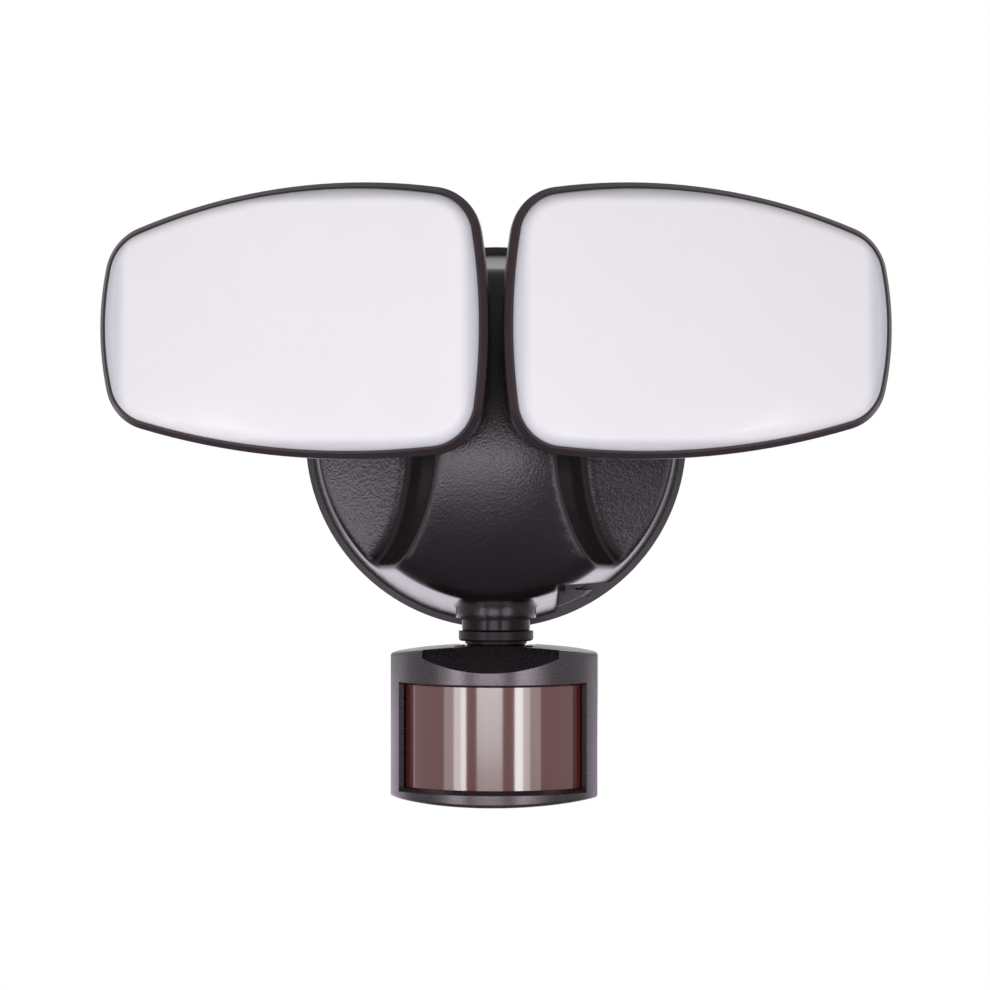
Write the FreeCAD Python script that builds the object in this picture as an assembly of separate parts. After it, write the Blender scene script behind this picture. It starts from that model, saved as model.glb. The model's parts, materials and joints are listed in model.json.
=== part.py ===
"""Wall-mounted motion sensor security light with two swivelling flood heads.

Millimetres. +Z is up, the light faces -Y and the wall is the plane Y = 0. The origin is the centre
of the mounting face.
"""
import FreeCAD, Part

import math
import os

Vector = FreeCAD.Vector
ORIGIN = Vector(0, 0, 0)
X_AXIS = Vector(1, 0, 0)
Y_AXIS = Vector(0, 1, 0)
Z_AXIS = Vector(0, 0, 1)
TOWARDS_VIEWER = Vector(0, -1, 0)

# ---- clearances
BALL_GAP = 0.3
SLIDE_GAP = 0.3
TURN_GAP = 0.1
SEAT_GAP = 0.3
SCREW_GAP = 0.1
OVERCUT = 1.0
SCREW_SLOT = 0.8
SMALL_EDGE = 0.4

# ---- mounting plate and gasket, measured from the wall
PLATE_RADIUS = 66.7
GASKET_THICKNESS = 2.0
GASKET_RADIUS = 66.0
GASKET_WIDTH = 12.0
PLATE_THICKNESS = 2.5
PLATE_FRONT = GASKET_THICKNESS + PLATE_THICKNESS
SPIGOT_HEIGHT = 4.0
SPIGOT_WALL = 2.0
SPIGOT_GAP = 0.4
SPIGOT_TAPER = 1.0
LARGE_BOX_SPACING = 88.9
SMALL_BOX_SPACING = 69.85
BOX_SLOT_WIDTH = 4.6
BOX_SLOT_LENGTH = 9.0
BOX_PAD_MARGIN = 2.4
WIRE_HOLE_RADIUS = 14.0
GROUND_SCREW_X = 24.0
GROUND_SCREW_Z = 24.0
GROUND_SCREW_RADIUS = 2.5
GROUND_HEAD_RADIUS = 4.6
GROUND_HEAD_HEIGHT = 3.0
GROUND_BOSS_RADIUS = 5.5
GROUND_BOSS_HEIGHT = 4.0

# ---- canopy: drafted flank, rounded shoulder, shallow crown
CANOPY_RADIUS = 64.7
CANOPY_WALL = 2.5
FLANK_DEPTH = 39.0
FLANK_DRAFT = 13.0
CROWN_RISE = 7.0
SHOULDER_RADIUS = 9.0
POCKET_CENTRE_X = 46.0
POCKET_FLOOR = 17.5
POCKET_HALF_WIDTH = 17.0
POCKET_HALF_HEIGHT = 46.0
POCKET_SPREAD_X = 0.29
POCKET_SPREAD_Z = 0.22
POCKET_CORNER_RADIUS = 6.0
POCKET_EDGE_RADIUS = 1.2
FOOT_EDGE = 0.8
WINDOW_LEFT = 20.9
WINDOW_TOP = -50.5

# ---- release latch behind the window
LATCH_WIDTH = 14.0
LATCH_HEIGHT = 9.0
LATCH_THICKNESS = 1.8
LATCH_LEDGE = 2.2
LATCH_HOLE_RADIUS = 1.1
LATCH_FRONT = 12.0
LATCH_TRAVEL = 2.0
GUIDE_WALL = 1.6
GUIDE_START = 2.0
GUIDE_FRONT = 13.0
LATCH_LEDGE_INSET = 2.4
LATCH_LEDGE_HEIGHT = 1.6
LATCH_LEDGE_DROP = 1.8
LATCH_STEP_WIDTH = 2.8
LATCH_HOOK_INSET = 3.0
LATCH_HOOK_DROP = 3.0
LATCH_HOOK_HEIGHT = 2.0
LATCH_HOLE_INSET = 1.2
LATCH_HOLE_DROP = 1.6
LEAF_INSET = 3.5
LEAF_THICKNESS = 0.4
LEAF_WIDTH = 3.0
LEAF_RISE = 3.0

# ---- sensor neck under the canopy
NECK_Y = -27.0
BOSS_RADIUS = 13.75
BOSS_BOTTOM = -62.2
BOSS_TOP = -51.5
BOSS_SHOULDER_TOP = -54.8
BOSS_SHOULDER_RADIUS = 3.8
SEAL_THICKNESS = 0.7
SEAL_RADIUS = 11.2
NECK_RADIUS = 11.7
NECK_LENGTH = 3.6
NECK_THREAD_RADIUS = 8.0
NECK_BORE_RADIUS = 4.6
NECK_NUT_WIDTH = 22.0
NECK_NUT_HEIGHT = 4.0
NECK_TAIL = 2.0
CLIP_THICKNESS = 0.9
CLIP_RADIUS = 7.0
CLIP_GROOVE = 0.6
CLIP_MOUTH = 5.3
SPIGOT_END = 1.0
COLLAR_RADIUS = 12.8
COLLAR_HEIGHT = 3.3
COLLAR_EDGE = 0.6
STEP_RADIUS = 10.6
STEP_HEIGHT = 1.0
STEM_RADIUS = 7.5
STEM_BORE_RADIUS = 3.0
SENSOR_BALL_RADIUS = 13.0
SENSOR_BALL_DROP = 8.6
BALL_FLAT = 10.0

# ---- sensor case, in its own frame: origin on the neck axis, facing -Y
SENSOR_REST_PAN = -4.0
SENSOR_FRONT = 34.0
SENSOR_HALF_WIDTH = 35.2
SENSOR_SIDE_Y = -11.0
SENSOR_BACK = 10.0
SENSOR_BACK_CORNER = 14.0
SENSOR_TOP = -71.3
SENSOR_BOTTOM = -124.7
SENSOR_TOP_CROWN = 2.7
SENSOR_BOTTOM_CROWN = 2.0
SENSOR_WALL = 2.2
SENSOR_EDGE_RADIUS = 1.2
SENSOR_HEEL = 15.0
SCOOP_HALF_WIDTH = 23.0
SCOOP_FRONT_Z = -79.7
SCOOP_SLOPE = 31.0
RECESS_FRONT = 16.0
RECESS_GAP = 0.5
TILT_UP = 12.0
TILT_DOWN = 22.0
SOCKET_WALL = 2.2
FRAME_TOP = -82.6
FRAME_BOTTOM = -122.1
FRAME_HALF_WIDTH = 33.2
FRAME_JAMB = 3.1
GLASS_TOP = -85.0
GLASS_BOTTOM = -118.4
GLASS_HALF_WIDTH = 29.3
PIR_RADIUS = 34.6
PIR_FRONT = 31.2
PIR_WALL = 1.2
PIR_LAP = 1.6
LENS_SEAT_DEPTH = 4.0
DETECTOR_RADIUS = 4.6
DETECTOR_HEIGHT = 4.2
DETECTOR_FLANGE = 0.8
DETECTOR_WINDOW_WIDTH = 4.0
DETECTOR_WINDOW_HEIGHT = 3.0
BOARD_THICKNESS = 1.6
SENSOR_BOARD_Y = -6.0
SENSOR_BOARD_HALF_WIDTH = 22.0
PHOTOCELL_X = 15.0
PHOTOCELL_RADIUS = 2.6
PHOTOCELL_HEIGHT = 2.2
CONTROL_BOARD_GAP = 7.4
CONTROL_BOARD_DEPTH = 15.0
CONTROL_BOARD_BACK = -4.0
CONTROL_POST_X = 19.5
CONTROL_POST_Y = -9.0
CONTROL_POST_RADIUS = 2.2
DIAL_X = 13.0
DIAL_Y = -15.0
DIAL_RADIUS = 4.6
DIAL_HEIGHT = 5.4
DIAL_HUB_RADIUS = 2.3
DIAL_SLOT_LENGTH = 7.4
DIAL_RECESS = 0.4
DIAL_SLOT = 1.2
DIAL_SLOT_DEPTH = 1.4
SWITCH_HALF_LENGTH = 3.2
SWITCH_HALF_WIDTH = 1.8
SWITCH_TRAVEL = 1.6
CASE_SCREW_X = 30.2
CASE_SCREW_HIGH_Z = -90.0
CASE_SCREW_LOW_Z = -104.0
CASE_SCREW_RADIUS = 1.5
CASE_SCREW_LENGTH = 10.0
CASE_SCREW_HEAD_RADIUS = 2.8
CASE_SCREW_HEAD = 1.8
CASE_SCREW_DEPTH = 3.8
CASE_BOSS_RADIUS = 3.6

# ---- arms, from the pocket floors to the head balls (right-hand side; the left is its mirror)
ARM_ROOT_X = 46.5
ARM_ROOT_Z = 22.0
HEAD_PIVOT = Vector(60.0, -60.0, 32.0)
ARM_FLANGE_RADIUS = 9.5
ARM_FLANGE_HEIGHT = 3.0
ARM_FLANGE_EDGE = 1.2
ARM_ROOT_RADIUS = 7.7
ARM_SINK = 2.0
ARM_SEAL_THICKNESS = 0.8
ARM_RADIUS = 5.5
ARM_CONE_LENGTH = 12.0
ARM_BORE_RADIUS = 2.5
ARM_THREAD_RADIUS = 4.5
ARM_NUT_WIDTH = 13.0
ARM_NUT_HEIGHT = 4.0
ARM_TAIL = 1.5
HEAD_BALL_RADIUS = 12.0
LINER_WALL = 1.5
LINER_OPENING = 56.0
SOCKET_OPENING = 66.0
BALL_CUP_WALL = 3.0
RING_RADIUS = 18.0
RING_LIP = 8.0
RING_NOTCHES = 8
RING_NOTCH_RADIUS = 1.6
RING_EDGE = 1.0

# ---- heads, in their own frame: origin at the ball, x outwards, y up, z forwards
HEAD_PAN = 14.5
HEAD_TILT = 4.0
HEAD_TOP_ARC = (-17.6, -154.8, 203.3)
HEAD_BOTTOM_ARC = (-19.9, 223.7, 265.8)
HEAD_INNER_ARC = (134.0, -2.7, 198.9)
HEAD_OUTER_ARC = (-29.6, 4.2, 97.8)
HEAD_CORNER = 17.5
HEAD_MIDDLE = Vector(1.5, 4.0, 0.0)
RIM_FRONT = 24.0
RIM_SLOPE_WIDTH = 1.6
RIM_SLOPE_DEPTH = 2.0
RIM_LIP = 0.7
BEZEL_DEPTH = 8.5
BEZEL_WALL = 1.6
BEZEL_BACK_WIDTH = 1.0
BEZEL_BACK_DEPTH = 4.8
LENS_WALL = 2.0
LENS_CROWN = 5.6
LENS_SHOULDER = 4.5
LENS_CROWN_RADIUS = 900.0
LENS_FLANGE = 2.0
LENS_GAP = 0.1
GASKET_SECTION = 1.0
LENS_GASKET_WIDTH = 2.4
LED_BOARD_THICKNESS = 1.5
LED_BOARD_INSET = 11.0
LED_SIZE = 3.5
LED_HEIGHT = 0.8
LED_COLUMNS = 8
LED_ROWS = 4
LED_PITCH_X = 12.5
LED_PITCH_Y = 14.0
HOUSING_INSET = 2.1
HOUSING_DEPTH = 9.0
HOUSING_WALL = 2.4
HOUSING_ROUND = 5.0
FIN_COUNT = 13
FIN_PITCH = 8.6
FIN_THICKNESS = 1.8
FIN_HEIGHT = 6.5
FIN_MARGIN = 9.0
FIN_BOSS_CLEARANCE = 3.0
FIN_TIP = 0.5
HEAD_WIRE_RADIUS = 3.5
BEZEL_SCREW_RADIUS = 1.5
BEZEL_SCREW_HEAD_RADIUS = 2.7
BEZEL_SCREW_HEAD = 1.6
BEZEL_SCREW_LENGTH = 10.0
BEZEL_BOSS_RADIUS = 3.4
BEZEL_BOSS_INSET = 1.2
BEZEL_SCREW_X = 42.0

# ---- driver inside the canopy's spine
DRIVER_DEPTH = 33.0
DRIVER_WIDTH = 30.0
DRIVER_HEIGHT = 62.0
DRIVER_POST_RADIUS = 3.0
DRIVER_POST_X = 11.5
DRIVER_POST_Z = 27.0
TRANSFORMER_SIZE = 16.0
TRANSFORMER_HEIGHT = 13.0
TRANSFORMER_RISE = 2.0
TRANSFORMER_LIMB = 3.0
WINDING_GAP = 2.9
WINDING_RADIUS = 4.9
WINDING_PROUD = 1.5
CAPACITOR_RADIUS = 5.0
CAPACITOR_HEIGHT = 12.0
CAPACITOR_EDGE = 0.8
CAPACITOR_X = 6.5
CAPACITOR_Z = 19.0
TERMINAL_WIDTH = 18.0
TERMINAL_DEPTH = 8.0
TERMINAL_HEIGHT = 9.0
TERMINAL_WAYS = 3
TERMINAL_RISE = 5.0
TERMINAL_HOLE = 1.8
TERMINAL_HOLE_Y = 3.6
TERMINAL_WELL_Y = 5.6
TERMINAL_HOLE_DEPTH = 5.3
DRIVER_SCREW_RADIUS = 1.3
DRIVER_SCREW_HEAD_RADIUS = 2.5
DRIVER_SCREW_HEAD = 1.5
DRIVER_SCREW_LENGTH = 8.0

# ---- what the sizes above fix
PLATE_TO_APEX = PLATE_FRONT + FLANK_DEPTH + CROWN_RISE
SEAL_BOTTOM = BOSS_BOTTOM - SEAL_THICKNESS
NECK_BOTTOM = SEAL_BOTTOM - NECK_LENGTH
COLLAR_TOP = NECK_BOTTOM - SEAT_GAP
COLLAR_BOTTOM = COLLAR_TOP - COLLAR_HEIGHT
STEP_BOTTOM = COLLAR_BOTTOM - STEP_HEIGHT
SENSOR_BALL_Z = STEP_BOTTOM - SENSOR_BALL_DROP
CONTROL_BOARD_BOTTOM = SENSOR_BOTTOM + CONTROL_BOARD_GAP
SENSOR_BOARD_BOTTOM = CONTROL_BOARD_BOTTOM + BOARD_THICKNESS + SEAT_GAP
SENSOR_BOARD_TOP = SENSOR_BALL_Z - SENSOR_BALL_RADIUS - BALL_GAP - SOCKET_WALL - SEAT_GAP
DETECTOR_Z = (SENSOR_BOARD_BOTTOM + SENSOR_BOARD_TOP) / 2
NECK_NUT_TOP = BOSS_TOP + NECK_NUT_HEIGHT
NECK_TAIL_TOP = NECK_NUT_TOP + NECK_TAIL
LINER_INNER = HEAD_BALL_RADIUS + BALL_GAP
LINER_OUTER = LINER_INNER + LINER_WALL
HEAD_SOCKET = LINER_OUTER + BALL_GAP
BALL_CUP_RADIUS = HEAD_SOCKET + BALL_CUP_WALL
HOUSING_FRONT = RIM_FRONT - BEZEL_DEPTH
HOUSING_BACK = HOUSING_FRONT - HOUSING_DEPTH
LED_BOARD_BACK = BALL_CUP_RADIUS + SEAT_GAP
LENS_FLANGE_FRONT = RIM_FRONT - RIM_SLOPE_DEPTH
LENS_FLANGE_BACK = LENS_FLANGE_FRONT - LENS_FLANGE
LUG_FRONT = LENS_FLANGE_BACK - GASKET_SECTION - SEAT_GAP
ARM_ROOT = Vector(ARM_ROOT_X, -POCKET_FLOOR, ARM_ROOT_Z)


# ---- shared helpers
def face_on(shape):
    """Turns a shape drawn as seen on the wall (x right, y up, z out of the wall) into place."""
    turned = shape.copy()
    turned.rotate(ORIGIN, X_AXIS, 90)
    return turned


def cylinder(radius, start, end):
    """A cylinder between two points."""
    along = end.sub(start)
    return Part.makeCylinder(radius, along.Length, start, along)


def box(x_range, y_range, z_range):
    """A box between pairs of limits."""
    size = [high - low for low, high in (x_range, y_range, z_range)]
    return Part.makeBox(size[0], size[1], size[2], Vector(x_range[0], y_range[0], z_range[0]))


def hexagon(width, height, centre, direction):
    """A hexagonal prism, width across its flats."""
    corner = width / math.sqrt(3)
    points = [
        Vector(corner * math.cos(math.radians(60 * i)), corner * math.sin(math.radians(60 * i)), 0)
        for i in range(7)
    ]
    prism = Part.Face(Part.makePolygon(points)).extrude(Vector(0, 0, height))
    prism.Placement = FreeCAD.Placement(centre, FreeCAD.Rotation(Z_AXIS, direction))
    return prism


def lathe(points, centre=ORIGIN, direction=Z_AXIS):
    """A turned solid from (radius, height) points, stood on centre along direction."""
    outline = [Vector(radius, 0, height) for radius, height in points]
    outline.append(outline[0])
    turned = Part.Face(Part.makePolygon(outline)).revolve(ORIGIN, Z_AXIS, 360)
    turned.Placement = FreeCAD.Placement(centre, FreeCAD.Rotation(Z_AXIS, direction))
    return turned


def edges_where(shape, test):
    """The edges that pass a test."""
    return [edge for edge in shape.Edges if test(edge)]


def upright(edge):
    """Whether an edge is a straight line along Z."""
    if not isinstance(edge.Curve, Part.Line):
        return False
    return abs(edge.Curve.Direction.z) > 0.999


def level_at(edge, height):
    """Whether an edge lies flat at a height."""
    bounds = edge.BoundBox
    return abs(bounds.ZMin - height) < 0.001 and abs(bounds.ZMax - height) < 0.001


def mirrored(shape):
    """The left-hand copy of a right-hand shape."""
    return shape.mirror(ORIGIN, X_AXIS)


def one_solid(shape):
    """The largest solid of a shape."""
    return max(shape.Solids, key=lambda solid: solid.Volume)


def screw(radius, length, head_radius, head_height, seat, direction):
    """A pan head screw whose head stands on seat; direction points from head to tip."""
    back = Vector(direction).normalize()
    head = cylinder(head_radius, seat.sub(back * head_height), seat)
    shank = cylinder(radius, seat, seat.add(back * length))
    slot = box((-head_radius, head_radius), (-SCREW_SLOT / 2, SCREW_SLOT / 2), (-head_height / 2, 0))
    slot.Placement = FreeCAD.Placement(
        seat.sub(back * (head_height / 2)), FreeCAD.Rotation(Z_AXIS, back)
    )
    return head.fuse(shank).cut(slot)


# ---- mounting plate, gasket and ground screw (drawn face on)
def slot_form(centre, along, margin, depth):
    """A round-ended slot grown by a margin; along is the unit vector of its length."""
    half = (BOX_SLOT_LENGTH - BOX_SLOT_WIDTH) / 2
    radius = BOX_SLOT_WIDTH / 2 + margin
    across = Vector(along.y, along.x, 0)
    size = along * (2 * half) + across * (2 * radius)
    middle = Part.makeBox(size.x, size.y, depth, centre.sub(size * 0.5))
    ends = [Part.makeCylinder(radius, depth, centre.add(along * (half * sign))) for sign in (-1, 1)]
    return middle.multiFuse(ends)


def slot_places():
    """Centre and direction of the four junction box slots."""
    for sign in (-1, 1):
        yield X_AXIS * (sign * LARGE_BOX_SPACING / 2), X_AXIS
        yield Y_AXIS * (sign * SMALL_BOX_SPACING / 2), Y_AXIS


def latch_space():
    """The latch's place in the window: left, right, bottom and top."""
    left = WINDOW_LEFT + GUIDE_WALL / 2
    top = WINDOW_TOP - SLIDE_GAP
    return left, left + LATCH_WIDTH, top - LATCH_HEIGHT, top


def make_mounting_plate():
    plate = Part.makeCylinder(PLATE_RADIUS, PLATE_THICKNESS, Vector(0, 0, GASKET_THICKNESS))
    spigot_radius = CANOPY_RADIUS - CANOPY_WALL / math.cos(math.radians(FLANK_DRAFT)) - SPIGOT_GAP
    spigot = lathe(
        [
            (spigot_radius - SPIGOT_WALL, PLATE_FRONT),
            (spigot_radius, PLATE_FRONT),
            (spigot_radius - SPIGOT_TAPER, PLATE_FRONT + SPIGOT_HEIGHT),
            (spigot_radius - SPIGOT_WALL, PLATE_FRONT + SPIGOT_HEIGHT),
        ]
    )
    boss_at = Vector(GROUND_SCREW_X, GROUND_SCREW_Z, PLATE_FRONT)
    boss = Part.makeCylinder(GROUND_BOSS_RADIUS, GROUND_BOSS_HEIGHT, boss_at)
    left, right, bottom, top = latch_space()
    bridge_bottom = top + LATCH_TRAVEL + LEAF_RISE
    rails = []
    for inner, outer in ((left - SLIDE_GAP, -1), (right + SLIDE_GAP, 1)):
        limits = sorted((inner, inner + outer * GUIDE_WALL))
        rail = box(limits, (bottom + GUIDE_START, bridge_bottom), (PLATE_FRONT, GUIDE_FRONT))
        rails.append(rail)
    bridge = box(
        (left - SLIDE_GAP - GUIDE_WALL, right + SLIDE_GAP + GUIDE_WALL),
        (bridge_bottom, bridge_bottom + GUIDE_WALL),
        (PLATE_FRONT, GUIDE_FRONT),
    )
    gap = box(
        (left - SLIDE_GAP - GUIDE_WALL, right + SLIDE_GAP + GUIDE_WALL),
        (-PLATE_RADIUS, top + LATCH_TRAVEL),
        (PLATE_FRONT, PLATE_FRONT + SPIGOT_HEIGHT + OVERCUT),
    )
    spigot = spigot.cut(gap)
    guide = bridge.multiFuse(rails).common(canopy_form(CANOPY_WALL + SEAT_GAP, GASKET_THICKNESS))
    plate = plate.multiFuse([spigot, boss, guide])
    depth = PLATE_FRONT + OVERCUT
    cutters = [Part.makeCylinder(WIRE_HOLE_RADIUS, depth)]
    for centre, along in slot_places():
        pad = slot_form(centre, along, BOX_PAD_MARGIN, GASKET_THICKNESS)
        plate = plate.fuse(pad)
        cutters.append(slot_form(centre, along, 0, depth))
    ground_hole = Part.makeCylinder(
        GROUND_SCREW_RADIUS + SCREW_GAP, GROUND_BOSS_HEIGHT + PLATE_THICKNESS, boss_at
    )
    ground_hole.translate(Vector(0, 0, -PLATE_THICKNESS))
    cutters.append(ground_hole)
    plate = plate.cut(Part.makeCompound(cutters))
    return face_on(one_solid(plate))


def make_wall_gasket():
    ring = Part.makeCylinder(GASKET_RADIUS, GASKET_THICKNESS)
    return face_on(ring.cut(Part.makeCylinder(GASKET_RADIUS - GASKET_WIDTH, GASKET_THICKNESS)))


def make_ground_screw():
    seat = Vector(GROUND_SCREW_X, -(PLATE_FRONT + GROUND_BOSS_HEIGHT), GROUND_SCREW_Z)
    shank_end = seat.add(Vector(0, GROUND_BOSS_HEIGHT + PLATE_THICKNESS / 2, 0))
    shank = cylinder(GROUND_SCREW_RADIUS, seat, shank_end)
    head = hexagon(GROUND_HEAD_RADIUS * 2, GROUND_HEAD_HEIGHT, seat, TOWARDS_VIEWER)
    return head.fuse(shank)


def make_release_latch():
    left, right, bottom, top = latch_space()
    back = LATCH_FRONT - LATCH_THICKNESS
    panel = box((left, right), (bottom, top), (back, LATCH_FRONT))
    ledge_left = left + LATCH_LEDGE_INSET
    ledge_top = top - LATCH_LEDGE_DROP
    ledge = box(
        (ledge_left, right),
        (ledge_top - LATCH_LEDGE_HEIGHT, ledge_top),
        (back, LATCH_FRONT + LATCH_LEDGE),
    )
    step = box(
        (ledge_left, ledge_left + LATCH_STEP_WIDTH),
        (ledge_top, top),
        (back, LATCH_FRONT + LATCH_LEDGE / 2),
    )
    hook_top = top - LATCH_HOOK_DROP
    hook = box(
        (left + LATCH_HOOK_INSET, right - LATCH_HOOK_INSET),
        (hook_top - LATCH_HOOK_HEIGHT, hook_top),
        (PLATE_FRONT + SLIDE_GAP, back),
    )
    hole_at = Vector(left + LATCH_HOLE_INSET, top - LATCH_HOLE_DROP, back - OVERCUT)
    hole = Part.makeCylinder(LATCH_HOLE_RADIUS, LATCH_THICKNESS + 2 * OVERCUT, hole_at)
    latch = panel.multiFuse([ledge, step, hook]).cut(hole)
    skirt_inside = canopy_form(CANOPY_WALL + SLIDE_GAP, GASKET_THICKNESS)
    skirt_inside_when_raised = skirt_inside.translated(Vector(0, -LATCH_TRAVEL, 0))
    reach = PLATE_RADIUS
    below_window_top = box(
        (-reach, reach), (-reach, top - LATCH_TRAVEL - SLIDE_GAP), (0, LATCH_FRONT + LATCH_LEDGE)
    )
    window_fill = canopy_form(SLIDE_GAP, GASKET_THICKNESS).common(below_window_top)
    room = skirt_inside.common(skirt_inside_when_raised).fuse(window_fill)
    return face_on(one_solid(latch.common(room)))


def make_latch_spring():
    """A bowed strip of spring steel between the latch's top and the guide's bridge."""
    left, right, _, top = latch_space()
    low = top + SLIDE_GAP / 2
    high = top + LATCH_TRAVEL + LEAF_RISE - SLIDE_GAP / 2
    middle = (left + right) / 2
    reach = LATCH_WIDTH / 2 - LEAF_INSET
    outer = Part.Arc(
        Vector(middle - reach, low, 0), Vector(middle, high, 0), Vector(middle + reach, low, 0)
    ).toShape()
    inner = Part.Arc(
        Vector(middle + reach - LEAF_THICKNESS, low, 0),
        Vector(middle, high - LEAF_THICKNESS, 0),
        Vector(middle - reach + LEAF_THICKNESS, low, 0),
    ).toShape()
    feet = [
        Part.makeLine(outer.Vertexes[-1].Point, inner.Vertexes[0].Point),
        Part.makeLine(inner.Vertexes[-1].Point, outer.Vertexes[0].Point),
    ]
    section = Part.Face(Part.Wire([outer, feet[0], inner, feet[1]]))
    strip = section.extrude(Vector(0, 0, LEAF_WIDTH))
    strip.translate(Vector(0, 0, LATCH_FRONT - LEAF_WIDTH))
    return face_on(strip)


# ---- canopy (drawn face on)
def canopy_form(inset, base):
    """The turned dome, its wall moved in by inset, standing on base."""
    lean = math.tan(math.radians(FLANK_DRAFT))
    shrink = inset / math.cos(math.radians(FLANK_DRAFT))
    foot = CANOPY_RADIUS - shrink - (base - PLATE_FRONT) * lean
    knee_height = PLATE_FRONT + FLANK_DEPTH - inset
    knee = CANOPY_RADIUS - shrink - (knee_height - PLATE_FRONT) * lean
    apex = knee_height + CROWN_RISE
    crown_radius = (knee * knee + CROWN_RISE * CROWN_RISE) / (2 * CROWN_RISE)
    half_angle = math.asin(knee / crown_radius) / 2
    middle = Vector(
        crown_radius * math.sin(half_angle), 0, apex - crown_radius * (1 - math.cos(half_angle))
    )
    outline = [
        Part.makeLine(Vector(0, 0, base), Vector(foot, 0, base)),
        Part.makeLine(Vector(foot, 0, base), Vector(knee, 0, knee_height)),
        Part.Arc(Vector(knee, 0, knee_height), middle, Vector(0, 0, apex)).toShape(),
        Part.makeLine(Vector(0, 0, apex), Vector(0, 0, base)),
    ]
    dome = Part.Face(Part.Wire(outline)).revolve(ORIGIN, Z_AXIS, 360)
    shoulder = edges_where(dome, lambda edge: level_at(edge, knee_height))
    return dome.makeFillet(SHOULDER_RADIUS - inset, shoulder)


def pocket_wire(depth, grow):
    """The pocket's outline at a depth: half an ellipse on the spine's side, open past the rim."""
    rise = depth - POCKET_FLOOR
    half_width = POCKET_HALF_WIDTH + rise * POCKET_SPREAD_X + grow
    half_height = POCKET_HALF_HEIGHT + rise * POCKET_SPREAD_Z + grow
    centre = Vector(POCKET_CENTRE_X, 0, depth)
    top = centre.add(Vector(0, half_height, 0))
    inner = centre.sub(Vector(half_width, 0, 0))
    ellipse = Part.Ellipse(top, inner, centre)
    outer_x = POCKET_CENTRE_X + CANOPY_RADIUS
    bottom = centre.sub(Vector(0, half_height, 0))
    far_bottom = Vector(outer_x, -half_height, depth)
    far_top = Vector(outer_x, half_height, depth)
    return Part.Wire(
        [
            Part.ArcOfEllipse(ellipse, 0, math.pi).toShape(),
            Part.makeLine(bottom, far_bottom),
            Part.makeLine(far_bottom, far_top),
            Part.makeLine(far_top, top),
        ]
    )


def pocket_form(grow):
    """The right-hand pocket as a solid; grow thickens it by the wall for the inside of the dome."""
    floor = POCKET_FLOOR - grow
    ceiling = PLATE_TO_APEX + OVERCUT
    wires = [pocket_wire(floor, grow), pocket_wire(ceiling, grow)]
    pocket = Part.makeLoft(wires, True, True)
    corner = edges_where(
        pocket, lambda edge: level_at(edge, floor) and not isinstance(edge.Curve, Part.Line)
    )
    return pocket.makeFillet(POCKET_CORNER_RADIUS, corner)


def both_sides(shape):
    return [shape, mirrored(shape)]


def pocket_edge(edge):
    """Whether an edge of the cut dome runs round a pocket, above its floor."""
    bounds = edge.BoundBox
    on_one_side = bounds.XMin * bounds.XMax > 0
    above_floor = bounds.ZMax > POCKET_FLOOR + POCKET_CORNER_RADIUS / 2
    level = bounds.ZLength < POCKET_EDGE_RADIUS
    return on_one_side and above_floor and not level


def make_canopy():
    dome = canopy_form(0, PLATE_FRONT)
    for pocket in both_sides(pocket_form(0)):
        dome = dome.cut(pocket)
    dome = dome.makeFillet(POCKET_EDGE_RADIUS, edges_where(dome, pocket_edge))
    foot = edges_where(dome, lambda edge: level_at(edge, PLATE_FRONT))
    dome = dome.makeChamfer(FOOT_EDGE, foot)
    hollow = canopy_form(CANOPY_WALL, PLATE_FRONT - OVERCUT)
    for pocket in both_sides(pocket_form(CANOPY_WALL)):
        hollow = hollow.cut(pocket)
    shell = dome.cut(hollow)
    shell = face_on(shell)
    boss = cylinder(BOSS_RADIUS, Vector(0, NECK_Y, BOSS_BOTTOM), Vector(0, NECK_Y, BOSS_TOP))
    boss_inside = boss.common(face_on(canopy_form(CANOPY_WALL / 2, PLATE_FRONT)))
    shoulder_top = Vector(0, NECK_Y, BOSS_SHOULDER_TOP)
    boss_below = cylinder(BOSS_RADIUS, Vector(0, NECK_Y, BOSS_BOTTOM), shoulder_top)
    shoulder = edges_where(boss_below, lambda edge: level_at(edge, BOSS_SHOULDER_TOP))
    boss_below = boss_below.makeFillet(BOSS_SHOULDER_RADIUS, shoulder)
    shell = shell.fuse(boss_inside).fuse(boss_below)
    crown_inside = -(PLATE_TO_APEX - CANOPY_WALL)
    for sign_x in (-1, 1):
        for sign_z in (-1, 1):
            foot = Vector(sign_x * DRIVER_POST_X, -DRIVER_DEPTH, sign_z * DRIVER_POST_Z)
            tip = Vector(foot.x, crown_inside, foot.z)
            shell = shell.fuse(cylinder(DRIVER_POST_RADIUS, foot, tip))
            hole_end = foot.add(TOWARDS_VIEWER * (DRIVER_SCREW_LENGTH + SEAT_GAP))
            shell = shell.cut(cylinder(DRIVER_SCREW_RADIUS + SCREW_GAP, foot, hole_end))
    neck_hole = cylinder(
        NECK_THREAD_RADIUS + SCREW_GAP,
        Vector(0, NECK_Y, BOSS_BOTTOM - OVERCUT),
        Vector(0, NECK_Y, BOSS_TOP + OVERCUT),
    )
    window = box(
        (WINDOW_LEFT, CANOPY_RADIUS),
        (-PLATE_TO_APEX, 0),
        (-CANOPY_RADIUS, WINDOW_TOP),
    )
    cutters = [neck_hole, window]
    for sign in (-1, 1):
        centre = Vector(sign * ARM_ROOT_X, 0, ARM_ROOT_Z)
        start = centre.add(TOWARDS_VIEWER * (POCKET_FLOOR - CANOPY_WALL - OVERCUT))
        end = centre.add(TOWARDS_VIEWER * (POCKET_FLOOR + OVERCUT))
        cutters.append(cylinder(ARM_THREAD_RADIUS + SCREW_GAP, start, end))
    return one_solid(shell.cut(Part.makeCompound(cutters)))


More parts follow.
